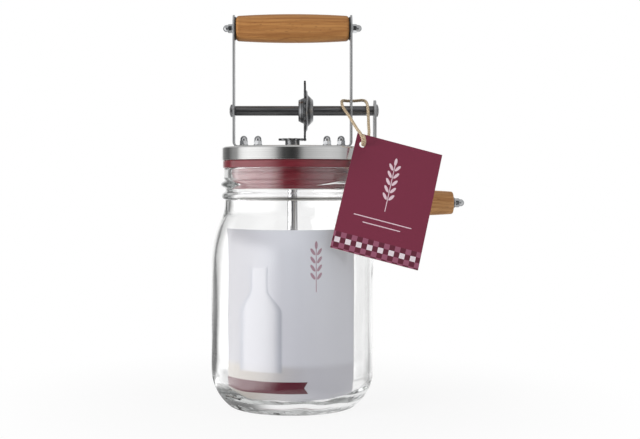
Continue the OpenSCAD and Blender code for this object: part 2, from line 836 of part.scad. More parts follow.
module dasher_rod() {
    color("silver")
        difference() {
            union() {
                translate([0, 0, paddle_z])
                    cylinder(r = rod_r, h = rod_top - paddle_z);
                translate([0, 0, paddle_z - nut_depth + fit_gap])
                    cylinder(r = bolt_r, h = nut_depth);
            }
            for (z = [hub_z + pinion_hub_h / 2, paddle_z + paddle_h - blade_t])
                translate([0, 0, z])
                    rotate([90, 0, 0])
                        cylinder(r = pin_r + fit_gap, h = rod_d + 2 * cut, center = true);
        }
}

module rod_collar() {
    color("gainsboro")
        difference() {
            translate([0, 0, collar_top - collar_h])
                cylinder(d = collar_d, h = collar_h);
            translate([0, 0, collar_top - collar_h - cut])
                cylinder(r = rod_r + fit_gap, h = collar_h + 2 * cut);
            translate([0, 0, collar_top - collar_h / 2])
                along_x()
                    cylinder(r = pin_r + fit_gap, h = collar_d);
        }
}

module collar_screw() {
    color("gray")
        translate([rod_r + fit_gap, 0, collar_top - collar_h / 2])
            along_x()
                cylinder(r = pin_r, h = (collar_d - rod_d) / 2 - 2 * fit_gap);
}

module dasher_paddle() {
    color("brown")
        translate([0, 0, paddle_z])
            difference() {
                linear_extrude(paddle_h) {
                    circle(d = paddle_hub_d);
                    square([paddle_d, blade_t], center = true);
                    square([blade_t, paddle_d], center = true);
                }
                translate([0, 0, -cut])
                    cylinder(r = rod_r + fit_gap, h = paddle_h + 2 * cut);
                for (turn = [0, 90], side = [-1, 1], z = [0.28, 0.72])
                    rotate([0, 0, turn])
                        translate([side * blade_mid, 0, z * paddle_h])
                            rotate([90, 0, 0])
                                cylinder(d = blade_hole_d, h = blade_t + 2 * cut, center = true);
                translate([0, 0, paddle_h - blade_t])
                    rotate([90, 0, 0])
                        cylinder(r = pin_r + fit_gap, h = paddle_hub_d + 2 * cut, center = true);
            }
}

module paddle_pin() {
    color("gray")
        translate([0, 0, paddle_z + paddle_h - blade_t])
            rotate([90, 0, 0])
                cylinder(r = pin_r, h = paddle_hub_d, center = true);
}

module dasher_nut() {
    color("gray")
        translate([0, 0, paddle_z])
            mirror([0, 0, 1])
                acorn_nut();
}

module swing_tag() {
    color("brown")
        translate(tag_hole)
            rotate([-tag_lean, 0, tag_yaw])
                rotate([0, tag_roll, 0])
                    rotate([90, 0, 0])
                        linear_extrude(tag_t, center = true)
                            difference() {
                                translate([-tag_hole_in, tag_hole_down - tag_h])
                                    square([tag_w, tag_h]);
                                circle(d = tag_hole_d);
                            }
}

module tag_twine() {
    color("tan")
        translate(twine_at)
            swept_tube(twine_route, twine_d, twine_sides);
}

glass_jar();
recipe_leaflet();
lid_cap();
lid_core();
lid_seal();
lid_bush();
left_strap();
right_strap();
strap_bolts();
strap_nuts();
top_grip();
grip_rod();
grip_washers();
grip_nuts();
crank_shaft();
shaft_screws();
drive_wheel();
wheel_grub_screw();
crank_arm();
knob_pin();
knob_washers();
knob_nut();
crank_knob();
pinion();
pinion_pin();
dasher_rod();
rod_collar();
collar_screw();
dasher_paddle();
paddle_pin();
dasher_nut();
swing_tag();
tag_twine();
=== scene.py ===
# %% [markdown]
# # A glass jar butter churn
# The churn is a glass jar with a lid that carries a handle, a hand crank and a right-angle
# gear, which turns a dasher inside the jar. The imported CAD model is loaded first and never
# moved. This lesson dresses it: each visible piece becomes a surface that numpy works out, and
# each gets a finish made of nodes.

# %% Load the frame
import math

import bmesh
import bpy
import numpy as np
from mathutils import Matrix, Vector


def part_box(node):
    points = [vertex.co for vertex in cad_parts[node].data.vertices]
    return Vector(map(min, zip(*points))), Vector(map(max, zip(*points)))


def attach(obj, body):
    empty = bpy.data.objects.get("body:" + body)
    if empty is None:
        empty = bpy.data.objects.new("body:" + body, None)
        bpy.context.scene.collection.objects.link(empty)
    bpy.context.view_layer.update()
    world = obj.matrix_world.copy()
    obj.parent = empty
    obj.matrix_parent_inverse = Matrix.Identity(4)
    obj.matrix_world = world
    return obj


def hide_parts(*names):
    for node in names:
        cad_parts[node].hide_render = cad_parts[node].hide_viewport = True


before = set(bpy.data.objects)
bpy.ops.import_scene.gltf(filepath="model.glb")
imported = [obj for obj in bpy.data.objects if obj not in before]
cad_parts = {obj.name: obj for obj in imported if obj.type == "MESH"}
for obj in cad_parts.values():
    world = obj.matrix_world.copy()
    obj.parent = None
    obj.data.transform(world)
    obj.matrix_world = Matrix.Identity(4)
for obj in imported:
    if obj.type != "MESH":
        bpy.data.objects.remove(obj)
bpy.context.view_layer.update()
MM = 0.001

# %% [markdown]
# ## Camera
# The photograph was taken from straight in front, level with the jar's neck. A perspective
# camera can be fitted by its distance, the size of a pixel at the jar's axis, and the place of
# that axis and of the eye's own height in the picture. The eye's point lies a little off the
# middle of the frame, so the lens is shifted by just that much and upright lines stay upright.

# %% Camera
PHOTO_W, PHOTO_H = 640, 439
AXIS_COLUMN, EYE_ROW = 292.5, 185.8
CAMERA_AWAY, EYE_Z = 0.8, 0.1551
METRES_PER_PIXEL = 0.0007125
SENSOR_W = 36.0

focal_pixels = CAMERA_AWAY / METRES_PER_PIXEL
lens = bpy.data.cameras.new("camera")
lens.sensor_width = SENSOR_W
lens.lens = SENSOR_W * focal_pixels / PHOTO_W
camera = bpy.data.objects.new("camera", lens)
bpy.context.scene.collection.objects.link(camera)
camera.location = (0, -CAMERA_AWAY, EYE_Z)
camera.rotation_euler = (math.radians(90), 0, 0)
lens.shift_x = (PHOTO_W / 2 - AXIS_COLUMN) / PHOTO_W
lens.shift_y = (EYE_ROW - PHOTO_H / 2) / PHOTO_W
bpy.context.scene.camera = camera
print("camera: lens", round(lens.lens, 2), "mm")

# %% [markdown]
# ## Surfaces from grids
# Every new piece is one or more grids of points. A grid's faces follow from its size alone, so
# one function serves them all. Grids that meet edge to edge are merged into one closed skin,
# and each corner of a face keeps its own place on the map, which lets a printed front, a bare
# back and a cut edge meet in one mesh.

# %% Grids
MERGE = 1e-6


def grid_faces(rows, cols, wrap_rows, wrap_cols):
    """Faces of a grid: (i, j), (i+1, j), (i+1, j+1) and (i, j+1), going round the end if wrapped."""
    last_row, last_col = rows - (not wrap_rows), cols - (not wrap_cols)
    i, j = np.meshgrid(np.arange(last_row), np.arange(last_col), indexing="ij")
    down, right = (i + 1) % rows, (j + 1) % cols
    quads = np.stack([i * cols + j, down * cols + j, down * cols + right, i * cols + right], -1)
    return quads.reshape(-1, 4)


def shell(points, wrap_rows=False, wrap_cols=False, uv=None):
    """A grid of points with its faces and its map, which is zero where no pattern needs one."""
    rows, cols = points.shape[:2]
    flat = np.zeros((rows * cols, 2)) if uv is None else np.asarray(uv).reshape(-1, 2)
    return points.reshape(-1, 3), grid_faces(rows, cols, wrap_rows, wrap_cols), flat


def capped(points, middles, uv, **wrap):
    """A tube closed at both ends: a ring at each end is drawn in to that end's middle."""
    ends = np.broadcast_to(middles[:, None], (2, *points.shape[1:]))
    uv = np.concatenate([uv[:1], uv, uv[-1:]])
    return shell(np.concatenate([ends[:1], points, ends[1:]]), uv=uv, **wrap)


print("a grid of 3 by 4 points has", len(grid_faces(3, 4, False, False)), "faces")

# %% Pieces


def even_normals(piece):
    """Lets large faces decide the shading, as on a machined part, and keeps sharp edges."""
    even = piece.modifiers.new("even normals", "WEIGHTED_NORMAL")
    even.keep_sharp = True


def make_piece(name, shells, finish, body, slot, *nodes, crease=38):
    """Joins shells into one mesh at the origin, merges shared edges, and stands it for CAD nodes."""
    points, faces, maps = zip(*shells)
    starts = np.cumsum([0] + [len(p) for p in points[:-1]])
    mesh = bpy.data.meshes.new(name)
    numbered = np.concatenate([f + start for f, start in zip(faces, starts)])
    mesh.from_pydata(np.concatenate(points).tolist(), [], numbered.tolist())
    corner = np.empty(len(mesh.loops), np.int32)
    mesh.loops.foreach_get("vertex_index", corner)
    mesh.uv_layers.new(name="map").data.foreach_set("uv", np.concatenate(maps)[corner].ravel())
    work = bmesh.new()
    work.from_mesh(mesh)
    bmesh.ops.remove_doubles(work, verts=work.verts, dist=MERGE)
    bmesh.ops.dissolve_degenerate(work, edges=work.edges, dist=MERGE)
    bmesh.ops.recalc_face_normals(work, faces=work.faces)
    work.to_mesh(mesh)
    work.free()
    mesh.shade_smooth()
    mesh.set_sharp_from_angle(angle=math.radians(crease))
    mesh.materials.append(finish)
    piece = bpy.data.objects.new(name, mesh)
    bpy.context.scene.collection.objects.link(piece)
    even_normals(piece)
    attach(piece, body)
    if nodes:
        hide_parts(*nodes)
    print(name, "has", len(mesh.polygons), "faces")
    return piece


# %% [markdown]
# ## The twine
# The tag hangs on a loop of jute twine, 2 mm thick, that goes from the hole in the card over
# the crank shaft, round the back of the right strap and down again. The whole loop is seen, so
# its length is what the loop measures. A curve with a round bevel would give a smooth tube;
# here three strands are carried along the line and twisted, because the lay of the strands is
# what makes twine look like twine.

# %% The twine's line
TWINE_D = 2 * MM
TWINE_ROUTE = [
    (6.3, -29.9, -24.97), (6.4, -32.4, -23.9), (6, -34.2, -21.1), (4.6, -33.3, -17.6),
    (2.7, -29.4, -14.7), (1, -24.2, -11.2), (-0.7, -18.9, -7.7), (-2.6, -13.9, -4),
    (-4.7, -9.5, -0.5), (-6.2, -6.9, 2.4), (-6.8, -4.2, 4.9), (-6.5, -0.8, 6.8), (-5, 4, 7.6),
    (-2.4, 8.3, 7.7), (1.3, 9.4, 7.7), (5.1, 8.2, 7.8), (7.9, 5.2, 7.8), (9.9, 1.6, 7.1),
    (11, -2.2, 5.2), (11.5, -5.4, 1.9), (11.6, -7.8, -2), (11.6, -10.4, -6.4),
    (11.5, -13.6, -10.6), (11.5, -17.2, -14.3), (11.2, -20.9, -17.7), (10.1, -23.9, -20.9),
    (8.1, -26.3, -23.9), (6.2, -29.1, -25.23),
]
TAIL_ROUTE = [
    (8.6, -25.4, -22.6), (7.6, -28.4, -25), (7.6, -31, -25), (7.8, -33.3, -23.4),
    (7.4, -34.7, -20.8), (6.4, -34.7, -18.4),
]
STRAP_T = 1.3 * MM


def corners(node):
    """Lowest and highest corner of a CAD node, as two rows of metres."""
    return np.array([list(corner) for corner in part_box(node)])


strap_low, strap_high = corners("right_strap")
shaft_low, shaft_high = corners("crank_shaft")
shaft_z = (shaft_low[2] + shaft_high[2]) / 2
twine_at = np.array([strap_high[0] - STRAP_T / 2, 0, shaft_z])
twine_points = twine_at + MM * np.array(TWINE_ROUTE)
tail_points = twine_at + MM * np.array(TAIL_ROUTE)


def line_through(points, steps=10):
    """A smooth line through points: on each span, the cubic b + slope t + bend t² + twist t³.

    At each point it heads along half the step between the point's two neighbours."""
    p = np.vstack([2 * points[0] - points[1], points, 2 * points[-1] - points[-2]])
    a, b, c, d = (p[k:len(p) - 3 + k, None] for k in range(4))
    t = np.linspace(0, 1, steps, endpoint=False)[None, :, None]
    slope, bend, twist = (c - a) / 2, (2 * a - 5 * b + 4 * c - d) / 2, (3 * b - a - 3 * c + d) / 2
    line = b + slope * t + bend * t ** 2 + twist * t ** 3
    return np.vstack([line.reshape(-1, 3), points[-1:]])


def way_along(line):
    """Distance along a line at each of its points."""
    return np.concatenate([[0], np.cumsum(np.linalg.norm(np.diff(line, axis=0), axis=1))])


twine_line = line_through(twine_points)
print("twine: seen length", round(way_along(twine_line)[-1], 4), "m")

# %% Twisted strands
PLIES, PLY_OFF, PLY_R = 3, 0.4, 0.6
TWINE_R, TWINE_LAY = 0.55 * TWINE_D, 6.2 * MM
FUZZ = 0.05
TRIED = 400
GOLDEN_TURN = math.pi * (3 - math.sqrt(5))


def paired(first, second):
    """Points from two arrays of numbers, either of which may be one number for all."""
    return np.stack(np.broadcast_arrays(first, second), -1)


def across_line(line):
    """Two unit vectors across a line at each point, both square to its heading.

    The first is heading × steady, steady being the one of many directions, set evenly round a
    sphere by the golden turn, that the heading comes least near to."""
    heading = np.gradient(line, axis=0)
    heading /= np.linalg.norm(heading, axis=1, keepdims=True)
    k = np.arange(TRIED) + 0.5
    height, turn = 1 - 2 * k / TRIED, k * GOLDEN_TURN
    flat = np.sqrt(1 - height ** 2)
    around = np.stack([flat * np.cos(turn), flat * np.sin(turn), height], -1)
    steady = around[np.abs(around @ heading.T).max(1).argmin()]
    side = np.cross(heading, steady)
    side /= np.linalg.norm(side, axis=1, keepdims=True)
    return side, np.cross(heading, side)


def twisted(line, radius, around=36):
    """Strands round a line: radius (off cos b + sqrt(ply² - off² sin² b)), b from a strand's middle.

    The grid turns with the strands, once in each lay, so each keeps its own columns, and two
    crossing waves fuzz the radius."""
    side, up = across_line(line)
    way = way_along(line)[:, None] / TWINE_LAY
    turn = np.linspace(0, 2 * math.pi, around + 1)[None, :]
    a = (turn - 2 * math.pi * way)[..., None]
    b = turn % (2 * math.pi / PLIES) - math.pi / PLIES
    r = radius * (PLY_OFF * np.cos(b) + np.sqrt(PLY_R ** 2 - (PLY_OFF * np.sin(b)) ** 2))
    r = r * (1 + FUZZ * np.sin(31 * way + 5 * turn) * np.sin(17 * way - 3 * turn))
    tube = line[:, None] + r[..., None] * (np.cos(a) * side[:, None] + np.sin(a) * up[:, None])
    return [capped(tube, line[[0, -1]], paired(way, b * PLIES / (2 * math.pi) + 0.5))]


print("twine:", PLIES, "strands, one turn in", round(TWINE_LAY / MM, 1), "mm")

# %% [markdown]
# ## Finishes from nodes
# A finish is a Principled shader with nodes before it. Patterns are easier to read as formulas,
# so a small class turns arithmetic into Math nodes: a Field is a number that varies over the
# surface, and adding or comparing Fields adds the nodes. Values that are the same all over go
# straight onto the shader's own sockets.

# %% Colours and materials


def srgb(red, green, blue):
    """Linear colour of a screen colour, 0 to 255: c/12.92 in the darks, else ((c+0.055)/1.055)^2.4."""
    c = np.array([red, green, blue]) / 255
    return (*np.where(c <= 0.04045, c / 12.92, ((c + 0.055) / 1.055) ** 2.4).tolist(), 1.0)


def sockets_of(finish):
    """The Principled shader's inputs, by names in lower case with underscores."""
    inputs = finish.node_tree.nodes["Principled BSDF"].inputs
    return {socket.name.lower().replace(" ", "_"): socket for socket in inputs}


def new_finish(name, **values):
    """A material with one Principled shader, and the values that are the same all over it."""
    finish = bpy.data.materials.new(name)
    finish.use_nodes = True
    sockets = sockets_of(finish)
    for key, value in values.items():
        sockets[key].default_value = value
    return finish


print("mid grey on the screen is", round(srgb(128, 128, 128)[0], 3), "in linear light")

# %% Nodes and fields


def add(finish, kind, inputs=None, **settings):
    """A node in a tree: an input given as a field or an output is linked, anything else is set."""
    tree = finish.node_tree
    node = tree.nodes.new(kind)
    for key, value in settings.items():
        setattr(node, key, value)
    for key, value in (inputs or {}).items():
        value = getattr(value, "socket", value)
        if isinstance(value, bpy.types.NodeSocket):
            tree.links.new(value, node.inputs[key])
        else:
            node.inputs[key].default_value = value
    return node


class Field:
    """A number that varies over a surface. Arithmetic on it adds Math nodes to its finish."""

    def __init__(self, finish, socket):
        self.finish, self.socket = finish, socket

    def math(self, operation, *others):
        node = add(self.finish, "ShaderNodeMath", dict(enumerate((self, *others))), operation=operation)
        return Field(self.finish, node.outputs[0])

    __add__ = lambda self, other: self.math("ADD", other)
    __sub__ = lambda self, other: self.math("SUBTRACT", other)
    __mul__ = lambda self, other: self.math("MULTIPLY", other)
    __truediv__ = lambda self, other: self.math("DIVIDE", other)
    __mod__ = lambda self, other: self.math("FLOORED_MODULO", other)
    __lt__ = lambda self, other: self.math("LESS_THAN", other)
    __gt__ = lambda self, other: self.math("GREATER_THAN", other)
    __or__ = lambda self, other: self.math("MAXIMUM", other)
    __abs__ = lambda self: self.math("ABSOLUTE")
    floor = lambda self: self.math("FLOOR")

    def spread(self, low=0.3, high=0.7, start=0.0, end=1.0):
        """The range from low to high, where most noise lies, stretched smoothly onto start to end."""
        inputs = {0: self, 1: low, 2: high, 3: start, 4: end}
        node = add(self.finish, "ShaderNodeMapRange", inputs, interpolation_type="SMOOTHSTEP")
        return Field(self.finish, node.outputs[0])


# %% Noise, paint and relief


def place(finish, source="Object"):
    """The three numbers of a place: Object coordinates in metres, or the piece's own map."""
    node = add(finish, "ShaderNodeTexCoord")
    parts = add(finish, "ShaderNodeSeparateXYZ", {0: node.outputs[source]})
    return [Field(finish, output) for output in parts.outputs]


def grain(x, y, z=0.0, detail=3.0, roughness=0.55):
    """Noise, between 0 and 1, whose grains are one unit of x, y and z across."""
    joined = add(x.finish, "ShaderNodeCombineXYZ", {0: x, 1: y, 2: z})
    inputs = {"Vector": joined.outputs[0], "Scale": 1.0, "Detail": detail, "Roughness": roughness}
    return Field(x.finish, add(x.finish, "ShaderNodeTexNoise", inputs).outputs[0])


def paint(under, over, where):
    """One colour over another as far as a field says; three numbers are a screen colour, 0 to 255."""
    under, over = (srgb(*c) if isinstance(c, tuple) and len(c) == 3 else c for c in (under, over))
    return add(where.finish, "ShaderNodeMix", {0: where, 6: under, 7: over}, data_type="RGBA").outputs[2]


def shade(finish, height=None, depth=0.0, **links):
    """Links colours and fields to the shader, and a field as relief of a depth in metres."""
    if height is not None:
        inputs = {"Height": height, "Distance": depth, "Strength": 1.0}
        links["normal"] = add(finish, "ShaderNodeBump", inputs).outputs[0]
    sockets = sockets_of(finish)
    for key, value in links.items():
        finish.node_tree.links.new(getattr(value, "socket", value), sockets[key])
    print(finish.name, "has", len(finish.node_tree.nodes), "nodes")


# %% [markdown]
# Jute is pale straw, with painted shade in the hollows between its strands. The map runs along
# each strand, so noise that is stretched along it reads as fibres.

# %% Jute finish
jute = new_finish("jute twine")
turns, across, _ = place(jute, "UV")
fibre = grain(turns * 5, across * 14, detail=4.0)
# painted shade: the hollows between the strands are darkened
painted_shade = abs(across - 0.5).spread(0.25, 0.5) * 0.7
straw = paint((220, 203, 176), (184, 158, 120), fibre.spread(0.35, 0.7))
shade(jute, fibre, 0.25 * MM, base_color=paint(straw, (132, 104, 70), painted_shade),
      roughness=fibre.spread(0, 1, 0.8, 1))

twine_shells = twisted(twine_line, TWINE_R)
twine = make_piece("twine", twine_shells, jute, "lid", "jute_twine", "tag_twine", crease=75)

# %% [markdown]
# Behind the card the two ends are tied. An overhand knot is a trefoil, the simplest closed
# knot, so the same strands are carried along that curve. One short tail comes back through the
# hole and lies beside the front strand, which makes the twine look doubled there.

# %% The knot
KNOT_R, KNOT_FLAT, TAIL_R = 0.62 * MM, 0.9, 0.9 * MM

t = np.linspace(0, 2 * math.pi, 90)
knot_x = np.sin(t) + 2 * np.sin(2 * t)
knot_z = np.cos(t) - 2 * np.cos(2 * t)
trefoil = np.stack([knot_x, -KNOT_FLAT * np.sin(3 * t), knot_z], -1)
knot_line = twine_points[-2] + KNOT_R * trefoil
knot_shells = twisted(knot_line, TAIL_R) + twisted(line_through(tail_points), TAIL_R)
knot = make_piece("twine_knot", knot_shells, jute, "lid", "jute_twine", crease=75)

# %% [markdown]
# ## The tag
# A swing tag is a stiff rectangle of card with a punched hole near one corner, which is just
# what its CAD solid is, so the solid stays. It hangs turned three ways: rolled in its own plane,
# yawed to the right, and leaning until its lower left corner rests near the glass. With those
# three turns, the place of any point on the card is a dot product with each of its axes.

# %% The tag's place
TAG_W, TAG_H, TAG_T = 60.5 * MM, 84.5 * MM, 0.8 * MM
TAG_HOLE_IN, TAG_HOLE_DOWN = 5.2 * MM, 7.5 * MM
TAG_ROLL, TAG_YAW = math.radians(15.5), math.radians(6)
TAG_GAP = 1.4 * MM

jar_r, _, jar_h = corners("glass_jar")[1]
tag_hole = (twine_points[0] + twine_points[-1]) / 2
corner_x = -TAG_HOLE_IN * math.cos(TAG_ROLL) - (TAG_H - TAG_HOLE_DOWN) * math.sin(TAG_ROLL)
corner_down = (TAG_H - TAG_HOLE_DOWN) * math.cos(TAG_ROLL) - TAG_HOLE_IN * math.sin(TAG_ROLL)
corner_front = math.sqrt((jar_r + TAG_GAP) ** 2 - (tag_hole[0] + corner_x) ** 2) + tag_hole[1]
tag_lean = math.asin((corner_front + corner_x * math.sin(TAG_YAW)) / (corner_down * math.cos(TAG_YAW)))
hang = Matrix.Rotation(TAG_YAW, 3, "Z") @ Matrix.Rotation(-tag_lean, 3, "X")
hang = np.array(hang @ Matrix.Rotation(TAG_ROLL, 3, "Y") @ Matrix.Rotation(math.pi / 2, 3, "X"))
print("tag: leans", round(math.degrees(tag_lean), 1), "degrees")


def place_on_tag(finish):
    """Millimetres from the card's left edge, foot and mid plane: (place - hole) dotted with its axes."""
    there = add(finish, "ShaderNodeTexCoord").outputs["Object"]
    away = add(finish, "ShaderNodeVectorMath", {0: there, 1: tag_hole}, operation="SUBTRACT").outputs[0]
    dots = [add(finish, "ShaderNodeVectorMath", {0: away, 1: axis}, operation="DOT_PRODUCT")
            for axis in hang.T / MM]
    x, y, lift = (Field(finish, dot.outputs["Value"]) for dot in dots)
    return x + TAG_HOLE_IN / MM, y + (TAG_H - TAG_HOLE_DOWN) / MM, lift


# %% [markdown]
# The card is printed in plum red, with a gingham strip along its foot and a generic ear of grain
# above two thin rules. Each is a formula on that place: checks come from rounding down, and a
# grain of the ear is an ellipse that repeats up the stem. The back and the cut edge are bare.

# %% Ear of grain
EAR_STEP, GRAIN_OUT, GRAIN_LONG, TIP_UP = 5.4, 2.3, 7.3, 1.6
LEAN_OUT, LEAN_UP = 0.57, 0.82
STEM_HALF, STEM_DOWN = 0.28, 8


def ear_of_grain(x, y, foot, pairs):
    """A stem with leaning ellipses, along²/long + across² < 1, about points up both of its sides."""
    top = foot + pairs * EAR_STEP
    side = abs(x) - GRAIN_OUT
    up = (y - foot) % EAR_STEP - EAR_STEP / 2
    along = side * LEAN_OUT + up * LEAN_UP
    across = side * LEAN_UP - up * LEAN_OUT
    over_top = y - top - TIP_UP
    oval = along * along / GRAIN_LONG + across * across < 1
    tip = x * x + over_top * over_top / GRAIN_LONG < 1
    stem = (abs(x) < STEM_HALF) * (y > foot - STEM_DOWN) * (y < top)
    return oval * (y > foot) * (y < top) | tip | stem


# %% Card finish
CHECK, CHECK_LEFT, CHECK_FOOT, STRIP_TOP = 3.72, 1.45, 4.85, 12.3
EAR_FOOT, EAR_PAIRS = 42.0, 5
RULES, RULE_HALF = ((27, 20), (23, 13)), 0.35
PRINT_DEEP, INK = 0.1, 0.92

card = new_finish("printed card")
x, y, lift = place_on_tag(card)
from_middle = x - TAG_W / MM / 2
mottle = grain(x * 1.6, y * 1.6, detail=5.0)
plum = paint((114, 30, 56), (128, 41, 69), mottle.spread())
column, row = ((x - CHECK_LEFT) / CHECK).floor(), ((y - CHECK_FOOT) / CHECK).floor()
light = (column + row) % 2 < 0.5
checks = paint((98, 27, 50), (150, 84, 108), light)
checks = paint(checks, (226, 214, 220), light * (abs(row) < 0.5))
motif = ear_of_grain(from_middle, y, EAR_FOOT, EAR_PAIRS)
for rule_up, rule_long in RULES:
    motif = motif | (abs(y - rule_up) < RULE_HALF) * (abs(from_middle) < rule_long)
printed = paint(plum, checks, y < STRIP_TOP)
printed = paint(printed, (231, 205, 215), motif * INK)
bare = paint((226, 219, 208), (238, 233, 225), mottle.spread())
front = lift > TAG_T / MM / 2 - PRINT_DEEP
shade(card, mottle, 0.02 * MM, base_color=paint(bare, printed, front),
      roughness=mottle.spread(0, 1, 0.45, 0.65))

# %% [markdown]
# A CAD solid that stays is only dressed. Its mesh is left as it is: a Weld joins its triangles,
# a Bevel eases its edges, and both are modifiers.

# %% Kept solids
BEVEL_FROM = math.radians(40)


def keep(node, finish, ease):
    """Gives a CAD node a finish, and eases its edges with modifiers that leave its mesh alone."""
    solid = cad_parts[node]
    solid.data.materials.clear()
    solid.data.materials.append(finish)
    weld = solid.modifiers.new("weld", "WELD")
    weld.merge_threshold = MERGE
    bevel = solid.modifiers.new("ease", "BEVEL")
    bevel.width, bevel.segments, bevel.limit_method = ease, 2, "ANGLE"
    bevel.angle_limit = BEVEL_FROM
    even_normals(solid)
    return solid


tag = keep("swing_tag", card, 0.12 * MM)

# %% [markdown]
# ## The jar
# The jar is pressed glass: thick, a little wavy, with a round base corner, a bead round the neck
# and one turn of a coarse thread that tapers out at both ends. A lathe gives the body; the
# thread is a second function, of height and angle, added to the radius. The skin runs from the
# hollow under the base over the rim and down the inside, so the glass has its true thickness
# and bends light as it should.
#
# The finish lets all light through, with a broad ripple left by the mould. Absorption greys the
# light that goes a long way through glass, and a thin line of painted shade runs under the bead.
# Lamp light passes the jar freely, as it throws hardly any shadow of its own.

# %% Glass finish
LINE_DOWN, LINE_R = 21.2 * MM, 48.6 * MM
LINE_OUT, LINE_IN = 0.5 * MM, 0.2 * MM


def grey(level):
    """A linear grey."""
    return (level, level, level, 1)


def radius_of(a, b):
    """Distance from an axis: the root of a² + b²."""
    return (a * a + b * b).math("SQRT")


glass = new_finish("clear glass", base_color=grey(1), roughness=0.0, ior=1.5, transmission_weight=1.0)
x, y, z = place(glass)
ripple = grain(x * 45, y * 45, z * 18, detail=1.0)
# painted shade: a thin dark line round the outside of the glass, just under the bead
painted_shade = abs(z - jar_h + LINE_DOWN).spread(LINE_OUT, LINE_IN) * (radius_of(x, y) > LINE_R)
shade(glass, ripple, 0.5 * MM, base_color=paint(grey(1), (70, 72, 72), painted_shade))
murk = add(glass, "ShaderNodeVolumeAbsorption", {"Color": srgb(206, 209, 208), "Density": 10.0})
glass.node_tree.links.new(murk.outputs[0], glass.node_tree.nodes["Material Output"].inputs["Volume"])

# %% [markdown]
# The outline is a chain of arcs and straight rows, all worked out from a few sizes. Where the
# shoulder meets the neck a circle runs out into a falling curve, as soft glass does in a mould.

# %% The jar's main lines
GLASS_T, FLOOR_T, FOOT_RING, PUSH_UP = 3.5, 6.0, 5.0, 2.5
BASE_CORNER, BASE_IN, BASE_EDGE, INNER_CORNER = 33.0, 13.0, 4.0, 18.0
SHOULDER_H, NECK_H, NECK_R, NECK_EASE, MOUTH_R = 35.0, 30.5, 48.2, 2.6, 43.8


def bow(run, rise):
    """Radius of the circle that falls by `rise` over a half width of `run`: (run² + rise²) / 2 rise."""
    return (run ** 2 + rise ** 2) / (2 * rise)


outer_r, rim_z = jar_r / MM, jar_h / MM
neck_z = rim_z - NECK_H
shoulder_z = neck_z - SHOULDER_H
inner_r = outer_r - GLASS_T
curve_z = math.sqrt(BASE_CORNER ** 2 - (BASE_CORNER - BASE_IN) ** 2)
edge_out = math.sqrt((BASE_CORNER - BASE_EDGE) ** 2 - (curve_z - BASE_EDGE) ** 2)
edge_turn = math.degrees(math.atan((BASE_EDGE - curve_z) / edge_out))
foot_out = outer_r - BASE_CORNER + edge_out
foot_in = foot_out - FOOT_RING
dome = bow(foot_in, PUSH_UP)
dome_turn = math.degrees(math.asin(foot_in / dome))


def ridge(t, steep=0.6):
    """A ridge: (1 - t²) to the power `steep`, 1 at 0 and 0 from ±1; a low power has steep sides."""
    return np.clip(1 - t ** 2, 0, 1) ** steep


def shoulder_line(wall_r, neck_r, rows):
    """Radius at each height: the shoulder's circle, then a tail that dies away onto the neck."""
    circle = bow(SHOULDER_H, wall_r - neck_r)
    leave = SHOULDER_H - NECK_EASE
    up = np.clip(rows - shoulder_z, 0, leave)
    drop = math.sqrt(circle ** 2 - leave ** 2)
    left_over = wall_r - circle + drop - neck_r
    past = np.maximum(rows - shoulder_z - leave, 0)
    tail = neck_r + left_over * np.exp(-past * (leave / drop) / left_over)
    return np.where(past > 0, tail, wall_r - circle + np.sqrt(circle ** 2 - up ** 2))


print("jar: stands on a ring", round(2 * foot_out), "mm across")

# %% The jar's outline
BEAD_UP, RIDGE_HALF, RIDGE_OUT = 10.9, 2.6, 2.0
GROOVE_UP, GROOVE_HALF, GROOVE_IN = 15.6, 2.6, 0.6
RIM_FROM, RIM_FULL, RIM_OUT, RIM_ROUND = 21.5, 24, 0.8, 1.4
FIRST_ROW, NECK_ROW, LAST_ROW, INNER_ROW, WALL_FREE = 0.4, 0.25, 0.2, 0.5, 4


def arc(centre, radius, start, end, steps):
    """Points on a circle: centre + radius (cos a, sin a), a running from start to end in degrees."""
    a = np.radians(np.linspace(start, end, steps))
    return np.asarray(centre) + radius * paired(np.cos(a), np.sin(a))


def smooth(low, high, value):
    """The smooth step: 0 below low, 1 above high, and 3t² - 2t³ between them."""
    t = np.clip((value - low) / (high - low), 0, 1)
    return t * t * (3 - 2 * t)


def bump(t):
    """A round bump: the squared cosine of t quarter turns, which is 1 at 0 and 0 from ±1 outwards."""
    return np.cos(np.clip(t, -1, 1) * math.pi / 2) ** 2


